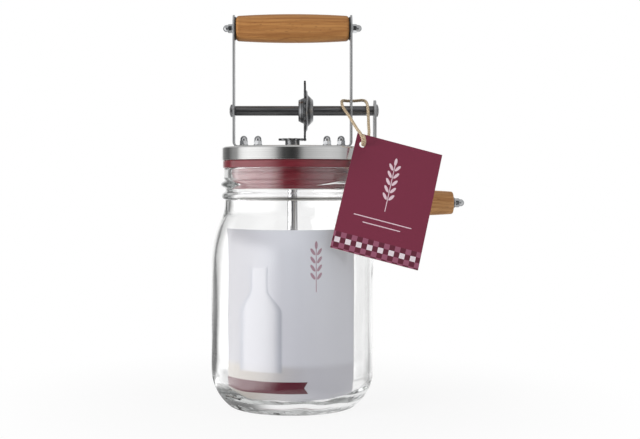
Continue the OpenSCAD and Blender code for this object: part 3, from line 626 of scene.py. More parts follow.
neck_from, rim_round_z = neck_z - NECK_EASE, rim_z - RIM_ROUND
upper_rows = np.concatenate([
    np.linspace(shoulder_z, neck_from, 28),
    np.arange(neck_from + FIRST_ROW, rim_round_z - LAST_ROW, NECK_ROW)])
upper_r = shoulder_line(outer_r, NECK_R, upper_rows)
upper_r += RIDGE_OUT * ridge((upper_rows - neck_z - BEAD_UP) / RIDGE_HALF)
upper_r -= GROOVE_IN * bump((upper_rows - neck_z - GROOVE_UP) / GROOVE_HALF)
upper_r += RIM_OUT * smooth(neck_z + RIM_FROM, neck_z + RIM_FULL, upper_rows)
inner_rows = np.linspace(rim_round_z - INNER_ROW, shoulder_z, 60)
wall_rows = np.linspace(curve_z + WALL_FREE, shoulder_z - WALL_FREE, 20)
jar_outline = np.vstack([
    arc((0, PUSH_UP - dome), dome, 90, 90 - dome_turn, 12),
    arc((foot_out, BASE_EDGE), BASE_EDGE, -90, edge_turn, 10)[:-1],
    arc((outer_r - BASE_CORNER, curve_z), BASE_CORNER, edge_turn, 0, 28),
    paired(outer_r, wall_rows),
    paired(upper_r, upper_rows),
    arc((NECK_R + RIM_OUT - RIM_ROUND, rim_round_z), RIM_ROUND, 0, 90, 8),
    arc((MOUTH_R + RIM_ROUND, rim_round_z), RIM_ROUND, 90, 180, 8),
    paired(shoulder_line(inner_r, MOUTH_R, inner_rows), inner_rows),
    paired(inner_r, wall_rows[::-1]),
    arc((inner_r - INNER_CORNER, FLOOR_T + INNER_CORNER), INNER_CORNER, 0, -90, 28),
    [((inner_r - INNER_CORNER) / 2, FLOOR_T), (0, FLOOR_T)],
])
outside = (np.arange(len(jar_outline)) < np.argmax(jar_outline[:, 1]))[:, None]
print("jar: outline of", len(jar_outline), "points")

# %% The jar's surface
AROUND = 240
THREAD_ANGLE = [10, 46, 290, 320]
THREAD_UP = [17.9, 18.6, 19.0, 18.8]
THREAD_HALF, THREAD_LEAST = 2.8, 0.1
WAVES_DIE = 26
# each wave: size, times round, shift, and the rise that turns it by one radian
SWAY = [(0.28, 3, 0.7, math.inf), (0.2, 7, 0.0, -7), (0.12, 13, 0.0, 4)]
SETTLE = [(0.5, 5, 1.1, math.inf), (0.3, 11, 0.0, math.inf)]


def round_z(r, a, h):
    """Places round z by radius, angle and height: (r sin a, -r cos a, h), a = 0 at the front."""
    return np.stack(np.broadcast_arrays(r * np.sin(a), -r * np.cos(a), h), -1)


def full_turn(steps, start=0.0):
    """The angles of a full turn in equal steps, as one row."""
    return np.linspace(start, start + 2 * math.pi, steps, endpoint=False)[None, :]


angle = full_turn(AROUND, -math.pi)
degrees = np.degrees(angle) % 360
r, z = jar_outline[:, :1], jar_outline[:, 1:]
start, full, fading, end = THREAD_ANGLE
taper = smooth(start, full, degrees) * (1 - smooth(fading, end, degrees))
thread_z = neck_z + np.interp(degrees, THREAD_ANGLE, THREAD_UP)
from_thread = (z - thread_z) / (THREAD_HALF * np.maximum(taper, THREAD_LEAST))
thread = (RIDGE_OUT + GROOVE_IN) * taper * ridge(from_thread, 1.0) * outside * (z > neck_z)


def waves(rows):
    """Waves inside the base: the sum of size · sin(times · angle + shift + z / rise), dying upwards."""
    high = sum(size * np.sin(times * angle + shift + z / rise) for size, times, shift, rise in rows)
    low_down = np.exp(-(z / WAVES_DIE) ** 2) * np.minimum(r / foot_in, 1)
    return np.where(outside, 0.0, low_down * high)


jar_radius = r + thread + waves(SWAY) * (r > 0)
jar_height = z + waves(SETTLE) * (z < INNER_CORNER)
jar_points = MM * round_z(jar_radius, angle, jar_height)
jar_shell = shell(jar_points, wrap_cols=True)
jar = make_piece("jar", [jar_shell], glass, "jar", "clear_glass", "glass_jar", crease=80)
jar.visible_shadow = False
jar.visible_diffuse = False

# %% [markdown]
# ## The leaflet
# A folded leaflet is curled inside the front of the jar and springs against the glass. Cloth
# simulation could curl it, but a sheet that is bent one way is simply a strip of a cylinder.
# A cover and two inner leaves, each a thin slab, lie one behind the other, and the leaves show
# as a pale edge on the right. The cover has a soft print: a bottle on a shelf, a sprig and a
# ribbon. The map is moved on by two wherever the paper is bare.

# %% Leaflet print
LEAFLET_ANGLE, LEAFLET_TURN = 120.0, -3.0
SHELF_FROM, SHELF_TO = 0.17, 0.22
BOTTLE_AT, BOTTLE_SIDE = 0.3, (58, 74, 16.0, 6.5)
BOTTLE_FOOT, BOTTLE_TOP = (17, 19), (89, 87.5)
SPRIG_AT, SPRIG_FOOT, SPRIG_PAIRS = 0.68, 80.0, 4
RIBBON_MID, RIBBON_HALF, RIBBON_END, RIBBON_NOTCH = 8.0, 4.0, 0.6, 0.6
BARE = 2

leaf_low, leaf_high = corners("recipe_leaflet")
leaf_r = -leaf_low[1]
leaf_w = leaf_r * math.radians(LEAFLET_ANGLE) / MM
leaf_h = (leaf_high[2] - leaf_low[2]) / MM
print("leaflet:", round(leaf_w, 1), "by", round(leaf_h, 1), "mm when flat")

paper = new_finish("leaflet paper", specular_ior_level=0.2)
u, v, _ = place(paper, "UV")
x, y = u * leaf_w, v * leaf_h
fibres = grain(x * 0.9, y * 2.2, detail=5.0)
cool = paint((203, 204, 212), (210, 212, 220), v.spread(0.35, 1.0))
# painted shade: the cover darkens towards its left edge
cool = paint((166, 165, 171), cool, u.spread(0.05, 0.6))
shelf = paint((174, 168, 162), (188, 188, 196), u.spread(0.2, 0.7))
cover = paint(shelf, cool, v.spread(SHELF_FROM, SHELF_TO))
bottle_way = abs(x - leaf_w * BOTTLE_AT) / y.spread(*BOTTLE_SIDE)
bottle = bottle_way.spread(1.06, 0.94) * y.spread(*BOTTLE_FOOT) * y.spread(*BOTTLE_TOP)
milk = paint((198, 198, 204), (158, 161, 171), bottle_way.spread(0.6, 1.0))
cover = paint(cover, milk, bottle * 0.85)
sprig = ear_of_grain(x - leaf_w * SPRIG_AT, y, SPRIG_FOOT, SPRIG_PAIRS)
cover = paint(cover, (150, 92, 112), sprig * 0.8)
cover = paint(cover, (240, 240, 244), fibres.spread(0.45, 0.9) * 0.1)
off_ribbon = abs(y - RIBBON_MID)
ribbon = (off_ribbon < RIBBON_HALF) * (x - off_ribbon * RIBBON_NOTCH < leaf_w * RIBBON_END)
cover = paint(cover, paint((92, 24, 42), (82, 18, 36), fibres.spread()), ribbon)
plain = paint((232, 231, 233), (243, 242, 243), fibres.spread())
shade(paper, fibres, 0.03 * MM, base_color=paint(cover, plain, u > BARE - 0.5),
      roughness=fibres.spread(0, 1, 0.5, 0.7))

# %% The leaflet's surface
LEAF_T = 0.13 * MM
# each leaf: how far inwards, degrees to the right, raised at its foot, lowered at its top
LEAVES = [(0.0, 0.0, 0.0, 0.0), (0.16, 1.0, 0.5, -0.4), (0.32, 1.7, 0.2, -0.9)]


def slab(front, back, uv):
    """Two grids of points joined round their edges: the front keeps the map, the rest is bare."""
    rows, cols = front.shape[:2]
    number = np.arange(rows * cols).reshape(rows, cols)
    border = np.concatenate([number[0, :-1], number[:-1, -1], number[-1, :0:-1], number[:0:-1, 0]])
    edge = np.stack([front.reshape(-1, 3)[border], back.reshape(-1, 3)[border]])
    edge_uv = np.full((*edge.shape[:2], 2), BARE + 1)
    return [shell(front, uv=uv), shell(back, uv=uv + BARE), shell(edge, wrap_cols=True, uv=edge_uv)]


def curled_leaf(inward, right, raised, lowered):
    """A strip of a cylinder: (r sin a, -r cos a, z) over an angle and a height, thick inwards."""
    middle, half = math.radians(LEAFLET_TURN), math.radians(LEAFLET_ANGLE / 2)
    a, h = np.meshgrid(np.linspace(0, 1, 72), np.linspace(0, 1, 16))
    turn = middle - half + a * 2 * half + math.radians(right) * a
    z = leaf_low[2] + raised * MM + h * (leaf_high[2] - leaf_low[2] + (lowered - raised) * MM)
    r = leaf_r - inward * MM
    skins = [round_z(s, turn, z) for s in (r, r - LEAF_T)]
    return slab(*skins, paired(a, h) + (BARE if inward else 0))


leaf_shells = [part for leaf in LEAVES for part in curled_leaf(*leaf)]
make_piece("leaflet", leaf_shells, paper, "jar", "leaflet_paper", "recipe_leaflet", crease=50)

# %% [markdown]
# ## The lid
# A brushed steel cap sits on a dark red silicone ring, whose ribbed sleeve goes down into the
# mouth of the jar. Both are turned shapes. The cap was brushed while it spun, so its lines run
# round it: noise that depends only on the distance from the axis and on the height gives
# circles on the top and level lines on the side. A corner of an outline is eased by a parabola
# that touches both of its sides, which catches the light as the worn edge of a real part does.

# %% Eased corners and the lathe


def rounded(points, ease, steps=6, closed=False):
    """An outline with eased corners: (1-t)² start + 2t(1-t) corner + t² end at each of them.

    Start and end lie `ease` from the corner on its two sides, or half way along a shorter side."""
    c = np.asarray(points, float)
    before = np.roll(c, 1, 0) if closed else np.vstack([c[:1], c[:-1]])
    after = np.roll(c, -1, 0) if closed else np.vstack([c[1:], c[-1:]])
    reach = np.broadcast_to(np.asarray(ease, float), len(c))[:, None]

    def towards(other):
        length = np.maximum(np.linalg.norm(other - c, axis=1), MERGE)[:, None]
        return (c + (other - c) / length * np.minimum(reach, length / 2))[:, None]

    t = np.linspace(0, 1, steps)[None, :, None]
    eased = (1 - t) ** 2 * towards(before) + 2 * t * (1 - t) * c[:, None] + t ** 2 * towards(after)
    return eased.reshape(-1, 2)


def turned(outline, around):
    """A lathe: each (radius, height) in millimetres goes round z, and comes out in metres."""
    return MM * round_z(outline[:, :1], full_turn(around, -math.pi), outline[:, 1:])


print("an eased square has", len(rounded([(0, 0), (1, 0), (1, 1), (0, 1)], 0.1, closed=True)), "points")

# %% Steel cap
CAP_T, CAP_ROUND, CAP_EASE, BUSH_R = 0.9, 1.6, 0.25, 5.5
FREE, CAP_UP = 0.05, 0.02
BRUSH = 2600

cap_steel = new_finish("brushed cap steel", metallic=1.0)
x, y, z = place(cap_steel)
lines = grain(radius_of(x, y) * BRUSH, z * BRUSH, detail=2.0)
cloud = grain(x * 60, y * 60, z * 500, detail=2.0)
tone = paint((230, 230, 229), (248, 248, 247), lines.spread(0.25, 0.75))
shade(cap_steel, lines, 0.012 * MM, base_color=tone, roughness=lines * 0.06 + cloud * 0.06 + 0.07)
cap_low, cap_high = corners("lid_cap") / MM
cap_r, seat_z, lid_z = cap_high[0], cap_low[2], cap_high[2]
cap_foot = seat_z + CAP_UP
cap_outline = rounded([
    (BUSH_R + FREE, lid_z), (cap_r, lid_z), (cap_r, cap_foot), (cap_r - CAP_T, cap_foot),
    (cap_r - CAP_T, lid_z - CAP_T), (BUSH_R + FREE, lid_z - CAP_T)],
    [0, CAP_ROUND, CAP_EASE, CAP_EASE, 2 * CAP_EASE, 0], steps=8, closed=True)
cap_shell = shell(turned(cap_outline, 144), True, True)
make_piece("cap", [cap_shell], cap_steel, "lid", "cap_steel", "lid_cap")

# %% [markdown]
# Several finishes are one material between two tones, whose roughness and relief follow the same
# noise, so one function serves them. On the silicone that is a dull bloom, under a smooth clear
# coat that gives the ring its thin bright line of light.

# %% Finishes of two tones


def two_tone(name, dark, pale, grains, rough, depth=None, detail=3.0, **values):
    """Noise of so many grains to the metre along x, y and z drives colour, roughness and relief."""
    finish = new_finish(name, **values)
    noise = grain(*(way * grains_of for way, grains_of in zip(place(finish), grains)), detail=detail)
    height = None if depth is None else noise
    color = paint(dark, pale, noise.spread())
    shade(finish, height, depth, base_color=color, roughness=noise.spread(*rough))
    return finish


silicone = two_tone("red silicone", (106, 26, 38), (122, 36, 48), (90, 90, 500), (0, 1, 0.26, 0.42),
                    0.03 * MM, 4.0, coat_weight=0.5, coat_roughness=0.0)

# %% Silicone seal
SLEEVE_R, SEAL_IN_R, FLANGE_EASE, SEAL_UP = 42.82, 40.67, 1.3, 0.04
RIBS, RIB_OUT, RIB_AT, RIB_HALF = 3, 0.88, 0.45, 0.3

seal_low, seal_high = corners("lid_seal") / MM
flange_r, flange_z = seal_high[0], rim_z + SEAL_UP
sleeve_rows = np.linspace(seal_low[2], rim_z, 60)
rib_step = (rim_round_z - seal_low[2]) / RIBS
off_rib = (sleeve_rows - seal_low[2]) / rib_step % 1 - RIB_AT
ribbed = SLEEVE_R + RIB_OUT * bump(off_rib / RIB_HALF) * (sleeve_rows < rim_round_z)
flange_outline = rounded(
    [(SLEEVE_R, flange_z), (flange_r, flange_z), (flange_r, seat_z), (SEAL_IN_R, seat_z)],
    [0, FLANGE_EASE, FLANGE_EASE, 0], steps=10)
seal_outline = np.vstack([[(SEAL_IN_R, seal_low[2])], paired(ribbed, sleeve_rows), flange_outline])
seal_shell = shell(turned(seal_outline, 144), True, True)
make_piece("seal", [seal_shell], silicone, "lid", "red_silicone", "lid_seal", crease=50)

# %% [markdown]
# ## Wood
# The grip and the knob are turned from beech, fatter at the middle, with round ends. The grain
# runs along them, so all the noise is stretched along x: broad streaks, the rings of the
# log as seen along the grain, and the short dark flecks that mark beech.

# %% Beech finish
BEECH = ((180, 127, 74), (159, 106, 58), (126, 79, 40))
PITH_BACK, PITH_DOWN, RINGS = 0.021, 0.034, 430


def beech(name, axis_z, tint):
    """Streaks, rings about a distant pith, and flecks, all drawn out along x."""
    wood = new_finish(name, specular_ior_level=0.3)
    x, y, z = place(wood)
    waver = grain(x * 22, y * 60, z * 60, detail=2.0)
    ring = radius_of(y + PITH_BACK, z - axis_z + PITH_DOWN) * RINGS + waver * 3.4
    early = abs(ring % 1 - 0.5) * 2
    streak = grain(x * 14, y * 420, z * 420, detail=5.0, roughness=0.62)
    fleck = grain(x * 210, y * 1500, z * 1500, detail=1.0).spread(0.66, 0.74) * 0.6
    pale, mid, dark = (srgb(*np.array(tone) * tint) for tone in BEECH)
    color = paint(mid, pale, streak.spread(0.36, 0.64))
    color = paint(color, dark, early.spread(0.35, 1.0) * 0.3)
    color = paint(color, (104, 66, 38), fleck)
    shade(wood, streak - fleck, 0.05 * MM, base_color=color, roughness=streak.spread(0, 1, 0.42, 0.6))
    return wood


# %% [markdown]
# A wooden handle is a shallow bow turned about its own axis, with a quarter round at each end and
# a hole for the rod. The grip and the knob differ only in their sizes and in the tint of the wood.

# %% Grip and knob
HANDLES = {  # node, body, radius at the middle and at the ends, rounding, radius of the hole, tint
    "grip": ("top_grip", "lid", 10.2, 8.9, 2.4, 2.1, (1.02, 1.03, 1.02)),
    "knob": ("crank_knob", "knob", 9.0, 7.9, 1.4, 2.6, (1.09, 1.16, 1.3)),
}


def along_x(points):
    """Lays a shape that was made along z so that it lies along x: (x, y, z) becomes (z, y, -x)."""
    return points[..., [2, 1, 0]] * np.array([1, 1, -1])


def turned_wood(length, mid_r, end_r, ease, hole_r):
    """Outline of a turned handle: r(x) = mid - (S - sqrt(S² - x²)), S being the radius of its bow."""
    swell = bow(length / 2, mid_r - end_r)
    x = np.linspace(-1, 1, 41) * (length / 2 - ease)
    side = paired(mid_r - swell + np.sqrt(swell ** 2 - x ** 2), x)
    end = arc((side[-1, 0] - ease, length / 2 - ease), ease, 0, 90, 10)
    near = end[::-1] * [1, -1]
    return np.vstack([[(hole_r, -length / 2)], near, side, end, [(hole_r, length / 2)]])


handle_z = {}
for name, (node, body, mid_r, end_r, ease, hole_r, tint) in HANDLES.items():
    low, high = corners(node)
    outline = turned_wood((high[0] - low[0]) / MM, mid_r, end_r, ease, hole_r)
    handle_shell = shell((low + high) / 2 + along_x(turned(outline, 96)), True, True)
    handle_z[name] = (low[2] + high[2]) / 2
    wood = beech(name + " beech", handle_z[name], tint)
    make_piece(name, [handle_shell], wood, body, "handle_wood", node, crease=50)

# %% [markdown]
# ## Flat steel
# The straps and the crank arm are cut from strip, bent where they turn, and brushed along their
# length. A strip is a profile carried along a path: a rounded rectangle, as wide as the strip
# is at that place, set square to the path. Its map runs along the strip in metres, so brush
# marks follow every bend.

# %% Strip steel
strip_steel = new_finish("brushed strip steel", metallic=0.8)
u, v, _ = place(strip_steel, "UV")
brush = grain(u * 40, v * (2 * BRUSH))
smear = grain(u * 90, v * 260, detail=2.0)
tone = paint((176, 178, 180), (210, 211, 212), brush.spread())
shade(strip_steel, brush, 0.01 * MM, base_color=tone, roughness=brush * 0.14 + smear * 0.1 + 0.36)

# %% A flat strip
STRIP_EDGE = 0.28
STRIP_HALF_W = strap_high[1] / MM


def flat_strip(spine, outward, half_w, half_t):
    """A rounded rectangle carried along a spine: spine + outward t + y w, with arcs at its corners."""
    quarter = np.radians(np.arange(16) // 4 * 90 + np.arange(16) % 4 * 30)[None, :]
    sign_w = np.repeat([1, -1, -1, 1], 4)[None, :]
    sign_t = np.repeat([1, 1, -1, -1], 4)[None, :]
    edge_w = np.minimum(STRIP_EDGE, half_w)[:, None]
    w = sign_w * (half_w[:, None] - edge_w) + edge_w * np.cos(quarter)
    t = sign_t * (half_t - STRIP_EDGE) + STRIP_EDGE * np.sin(quarter) + 0 * w
    points = spine[:, None] + outward[:, None] * t[..., None] + np.array([0, 1, 0]) * w[..., None]
    uv = paired(way_along(spine)[:, None], w + t)
    return capped(MM * points, MM * spine[[0, -1]], MM * uv, wrap_cols=True)


print("strip:", round(2 * STRIP_HALF_W, 1), "mm wide")

# %% Straps
STRAP_BEND, ROUND_STEPS = 3.7, 14


def strap_strip(side):
    """Spine of a strap: along its foot, round the bend, and up to a half-round top."""
    half_t = STRAP_T / MM / 2
    foot_in, _, foot_z = strap_low / MM
    out_x, _, top_z = strap_high / MM
    bend_at = np.array([out_x - STRAP_BEND, foot_z + STRAP_BEND])
    foot_x = np.linspace(foot_in, bend_at[0], 6, endpoint=False)
    up_z = np.linspace(bend_at[1], top_z - STRIP_HALF_W, 12)[1:]
    crown = np.radians(np.linspace(0, 90, ROUND_STEPS))[1:]
    spine = np.vstack([
        paired(foot_x, foot_z + half_t),
        arc(bend_at, STRAP_BEND - half_t, -90, 0, ROUND_STEPS),
        paired(out_x - half_t, up_z),
        paired(out_x - half_t, top_z - STRIP_HALF_W * (1 - np.sin(crown)))])
    lean = np.radians(np.concatenate([
        np.full(len(foot_x), -90), np.linspace(-90, 0, ROUND_STEPS), np.zeros(len(up_z) + len(crown))]))
    half_w = np.full(len(spine), STRIP_HALF_W)
    half_w[-len(crown):] = STRIP_HALF_W * np.cos(crown)
    still = np.zeros(len(spine))
    spine = np.stack([side * spine[:, 0], still, spine[:, 1]], -1)
    outward = np.stack([side * np.cos(lean), still, np.sin(lean)], -1)
    return flat_strip(spine, outward, half_w, half_t)


for side, name in ((-1, "left"), (1, "right")):
    make_piece(name + "_upright", [strap_strip(side)], strip_steel, "lid", "strap_steel", name + "_strap")

# %% Crank arm


def arm_strip():
    """Spine of the crank arm: straight up, with a half round at both ends."""
    low, high = corners("crank_arm") / MM
    round_end = np.radians(np.linspace(-90, 0, ROUND_STEPS))
    lower = low[2] + STRIP_HALF_W * (1 + np.sin(round_end))
    straight = np.linspace(lower[-1], high[2] - STRIP_HALF_W, 8)[1:-1]
    z = np.concatenate([lower, straight, high[2] + low[2] - lower[::-1]])
    half_w = np.full(len(z), STRIP_HALF_W)
    half_w[:ROUND_STEPS] = STRIP_HALF_W * np.cos(round_end)
    half_w[-ROUND_STEPS:] = half_w[:ROUND_STEPS][::-1]
    spine = np.stack([np.full_like(z, (low[0] + high[0]) / 2), 0 * z, z], -1)
    return flat_strip(spine, np.tile([1.0, 0, 0], (len(z), 1)), half_w, (high[0] - low[0]) / 2)


make_piece("arm", [arm_strip()], strip_steel, "crank", "strap_steel", "crank_arm")

# %% [markdown]
# ## Acorn nuts
# Seven small acorn nuts hold the straps, the grip and the knob, and one ends the dasher. A nut
# is a six-sided bar cut by a turned shape, so its radius is simply the smaller of the two: the
# hexagon at that angle, or the turned outline, flange, chamfer and dome, at that height.

# %% Acorn nut
NUT_FLATS, NUT_FACE_R, NUT_FACE_T, NUT_HEX_TOP, NUT_DOME_R, NUT_H = 5.6, 3.3, 0.6, 3.6, 2.6, 7.0
NUT_EASE, NUT_NECK_R, NUT_HEX_UP = 0.1, 2.9, 0.25
NUT_CHAMFER = np.array([(3.3, 0.75), (3.05, 0.35), (2.8, 0.08)])

chrome = two_tone("polished chrome", (206, 208, 210), (232, 233, 235), (700, 700, 700),
                  (0.2, 0.8, 0.05, 0.16), metallic=1.0)


def acorn_nut(at, axis, turn=0):
    """Radius min(flats/2 / cos((a + turn) mod 60° - 30°), turned outline) at each height."""
    dome_z = NUT_H - NUT_DOME_R
    face = [(NUT_FACE_R - NUT_EASE, 0), (NUT_FACE_R, NUT_EASE), (NUT_FACE_R, NUT_FACE_T),
            (NUT_NECK_R, NUT_FACE_T)]
    limit = np.vstack([
        [(0, 0)], rounded(face, NUT_EASE, 3), [(NUT_FACE_R, NUT_FACE_T + NUT_HEX_UP)],
        [(0, NUT_HEX_TOP)] + NUT_CHAMFER * [1, -1],
        [(NUT_DOME_R, NUT_HEX_TOP), (NUT_DOME_R, dome_z)], arc((0, dome_z), NUT_DOME_R, 0, 90, 14)[1:]])
    a = full_turn(72)
    hexagon = NUT_FLATS / 2 / np.cos((a + math.radians(turn)) % (math.pi / 3) - math.pi / 6)
    r, h = limit[:, :1], limit[:, 1:]
    cut = np.where((h > NUT_FACE_T) & (h < NUT_HEX_TOP), np.minimum(r, hexagon), r)
    points = np.stack([cut * np.cos(a), cut * np.sin(a), h + 0 * a], -1)
    lay = np.array(Vector((0, 0, 1)).rotation_difference(Vector(axis)).to_matrix())
    return shell(MM * points @ lay.T + np.asarray(at), wrap_cols=True)


# %% Nuts in their places
BOLT_PITCH, FOOT_NUT_TURN = 10 * MM, 30

foot_nut_z = corners("strap_nuts")[0][2]
bolt_out = corners("strap_nuts")[1][0] - NUT_FACE_R * MM
grip_nut_x = corners("grip_nuts")[1][0] - NUT_H * MM
knob_nut_x = corners("knob_nut")[0][0]
dasher_nut_top = corners("dasher_nut")[1][2]
NUTS = {
    "foot_nuts": ("lid", "strap_nuts", [
        acorn_nut((side * x, 0, foot_nut_z), (0, 0, 1), FOOT_NUT_TURN)
        for side in (-1, 1) for x in (bolt_out, bolt_out - BOLT_PITCH)]),
    "handle_nuts": ("lid", "grip_nuts", [
        acorn_nut((side * grip_nut_x, 0, handle_z["grip"]), (side, 0, 0)) for side in (-1, 1)]),
    "knob_end_nut": ("crank", "knob_nut", [acorn_nut((knob_nut_x, 0, handle_z["knob"]), (1, 0, 0))]),
    "dasher_end_nut": ("dasher", "dasher_nut", [acorn_nut((0, 0, dasher_nut_top), (0, 0, -1))]),
}
for name, (body, node, nut_shells) in NUTS.items():
    make_piece(name, nut_shells, chrome, body, "nut_chrome", node, crease=28)

# %% [markdown]
# ## The drive
# A dark steel shaft crosses the handle and carries a toothed wheel on a double-cone hub, which
# meets a small toothed disc on the rod. Teeth repeat, so the outline of a wheel is one tooth's
# four corners copied round by an array, then eased and given thickness. The shaft is drawn, so
# its lines run along it. The wheel was turned, so its bright and dark lines run round the shaft.

# %% Drive finishes
shaft_steel = two_tone("dark shaft steel", (94, 94, 96), (146, 146, 148), (60, BRUSH, BRUSH),
                       (0, 1, 0.26, 0.42), 0.012 * MM, metallic=1.0)

iron = new_finish("satin iron", metallic=1.0)
x, y, z = place(iron)
cast = grain(x * 900, y * 900, z * 900, detail=4.0)
lines = grain(x * 620, radius_of(y, z - shaft_z) * 160, detail=2.0)
tone = paint((94, 95, 97), (194, 195, 197), lines.spread(0.35, 0.65))
shade(iron, cast, 0.04 * MM, base_color=tone, roughness=cast * 0.16 + lines * 0.1 + 0.16)

# %% Shaft
SHAFT_R, JOURNAL_R, SHOULDER_X, SHAFT_END = 3.5, 2.7, -40.8, 57.8

shaft_start = shaft_low[0] / MM
shaft_outline = rounded([
    (0, shaft_start), (JOURNAL_R, shaft_start), (JOURNAL_R, SHOULDER_X), (SHAFT_R, SHOULDER_X),
    (SHAFT_R, SHAFT_END), (0, SHAFT_END)], [0, 0.2, 0, 0.45, 0.3, 0])
shaft_shell = shell(along_x(turned(shaft_outline, 64)) + np.array([0, 0, shaft_z]), wrap_cols=True)
make_piece("shaft", [shaft_shell], shaft_steel, "crank", "shaft_steel", "crank_shaft")

# %% Teeth
TOOTH_PITCH, TOOTH_TIP, TOOTH_ROOT, TOOTH_EASE = 4.6, 1.2, 2.0, 0.22


def toothed_disc(teeth, tooth_out, tooth_in, thick, inner_r, turn=0.0):
    """One tooth's corners turned to each place round the pitch circle, stacked as a bevelled plate."""
    pitch_r = teeth * TOOTH_PITCH / (2 * math.pi)
    along = np.array([-tooth_in, tooth_out, tooth_out, -tooth_in]) + pitch_r
    beside = np.array([-TOOTH_ROOT, -TOOTH_TIP, TOOTH_TIP, TOOTH_ROOT]) / 2
    a = (2 * math.pi * np.arange(teeth) / teeth + math.radians(turn))[:, None]
    x = along * np.cos(a) - beside * np.sin(a)
    y = along * np.sin(a) + beside * np.cos(a)
    rim = rounded(paired(x, y).reshape(-1, 2), TOOTH_EASE, 4, closed=True)
    far = np.linalg.norm(rim, axis=1, keepdims=True)
    inner, inset = rim / far * inner_r, rim * (1 - TOOTH_EASE / far)
    half = thick / 2
    flat = np.stack([inner, inset, rim, rim, inset, inner])
    lift = np.array([-half, -half, TOOTH_EASE - half, half - TOOTH_EASE, half, half])
    return MM * np.concatenate([flat, np.broadcast_to(lift[:, None, None], (*flat.shape[:2], 1))], -1)


# %% Wheel
WHEEL_TEETH, WHEEL_OUT, WHEEL_IN, RIM_T, RIM_DEEP = 28, 1.0, 1.4, 1.4, 2
HUB_R, HUB_LEFT, HUB_RIGHT = 7.5, 4.6, 6.0
CONE_LEFT_R, CONE_RIGHT_R, WEB_R, WEB_OUT = 9.3, 11.5, 15.0, 1.2

wheel_at = np.array([corners("drive_wheel")[1][0] - HUB_RIGHT * MM, 0, shaft_z])
web_z = RIM_T / 2 + WEB_OUT
hub_outline = rounded([
    (SHAFT_R, -HUB_LEFT), (HUB_R, -HUB_LEFT), (CONE_LEFT_R, -RIM_T / 2), (WEB_R, -RIM_T / 2),
    (WEB_R, RIM_T / 2), (WEB_R - WEB_OUT, web_z), (CONE_RIGHT_R, web_z), (HUB_R, HUB_RIGHT),
    (SHAFT_R, HUB_RIGHT)], [0, 0.5, 0.8, 0.2, 0.2, 0.5, 0.8, 0.6, 0])
toothed_rim = toothed_disc(WHEEL_TEETH, WHEEL_OUT, WHEEL_IN, RIM_T, WEB_R - RIM_DEEP)
wheel_shells = [
    shell(along_x(points) + wheel_at, True, True) for points in (toothed_rim, turned(hub_outline, 72))]
make_piece("wheel", wheel_shells, iron, "crank", "gear_iron", "drive_wheel", crease=30)

# %% Pinion
PINION_TEETH, PINION_OUT, PINION_IN, PLATE_T, PLATE_FREE = 12, 1.4, 2.0, 1.4, 0.2
PINION_HUB_R = 5.2

pinion_low, pinion_high = corners("pinion") / MM
rod_low, rod_high = corners("dasher_rod") / MM
rod_r = rod_high[0]
hub_foot, plate_z = pinion_low[2], pinion_high[2] - PLATE_T / 2
pinion_hub = rounded([
    (rod_r + FREE, hub_foot), (PINION_HUB_R, hub_foot), (PINION_HUB_R, plate_z), (rod_r + FREE, plate_z)],
    [0, 0.4, 0, 0])
half_tooth = 180 / PINION_TEETH
plate = toothed_disc(PINION_TEETH, PINION_OUT, PINION_IN, PLATE_T, rod_r + PLATE_FREE, half_tooth)
plate += [0, 0, plate_z * MM]
pinion_shells = [shell(points, True, True) for points in (plate, turned(pinion_hub, 64))]
make_piece("pinion_gear", pinion_shells, iron, "dasher", "gear_iron", "pinion", crease=30)

# %% [markdown]
# ## Screws and the rod
# The shaft ends in two pan-headed screws with cross slots, and the dasher hangs on a bright
# drawn rod. A screw head is a grid over radius and angle whose height is a dome less the cross.

# %% Screw heads
HEAD_R, HEAD_H, HEAD_EDGE = 4.5, 2.2, 0.25
CROSS_R, CROSS_FADE, CROSS_HALF, CROSS_FLAT, CROSS_DEEP = 2.5, 0.7, 0.5, 0.6, 1.0

plated = two_tone("plated steel", (132, 132, 134), (182, 182, 184), (500, 500, 500),
                  (0, 1, 0.24, 0.46), 0.015 * MM, 4.0, metallic=1.0)


def pan_head(at, side):
    """Height: a rim half the head high, a dome h/2 (1 - (r/R)²) on it, less a cross that fades out."""
    a = full_turn(96)
    flat_r = HEAD_R - HEAD_EDGE
    edge_r = flat_r + HEAD_EDGE * np.sin(np.linspace(0, math.pi / 2, 5))
    r = np.concatenate([np.linspace(0, flat_r, 34), edge_r])[:, None]
    x, y = r * np.cos(a), r * np.sin(a)
    slot = 1 - smooth(CROSS_HALF * CROSS_FLAT, CROSS_HALF, np.minimum(abs(x), abs(y)))
    cross = CROSS_DEEP * slot * (1 - smooth(CROSS_R - CROSS_FADE, CROSS_R, r))
    edge = HEAD_EDGE * (1 - np.sqrt(1 - np.clip((r - HEAD_R + HEAD_EDGE) / HEAD_EDGE, 0, 1) ** 2))
    h = HEAD_H / 2 + HEAD_H / 2 * (1 - (r / HEAD_R) ** 2) - cross - edge
    ring = np.stack([HEAD_R * np.cos(a), HEAD_R * np.sin(a), 0 * a], -1)
    points = MM * np.concatenate([np.stack([x, y, h], -1), ring, ring * 0])
    return shell(along_x(points) * np.array([side, 1, 1]) + at, wrap_cols=True)


screw_ends = corners("shaft_screws")[:, 0]
heads = [pan_head(np.array([end - side * HEAD_H * MM, 0, shaft_z]), side)
         for side, end in zip((-1, 1), screw_ends)]
make_piece("end_screws", heads, plated, "crank", "screw_steel", "shaft_screws", crease=40)

# %% Dasher rod
ROD_END_R = 1.5

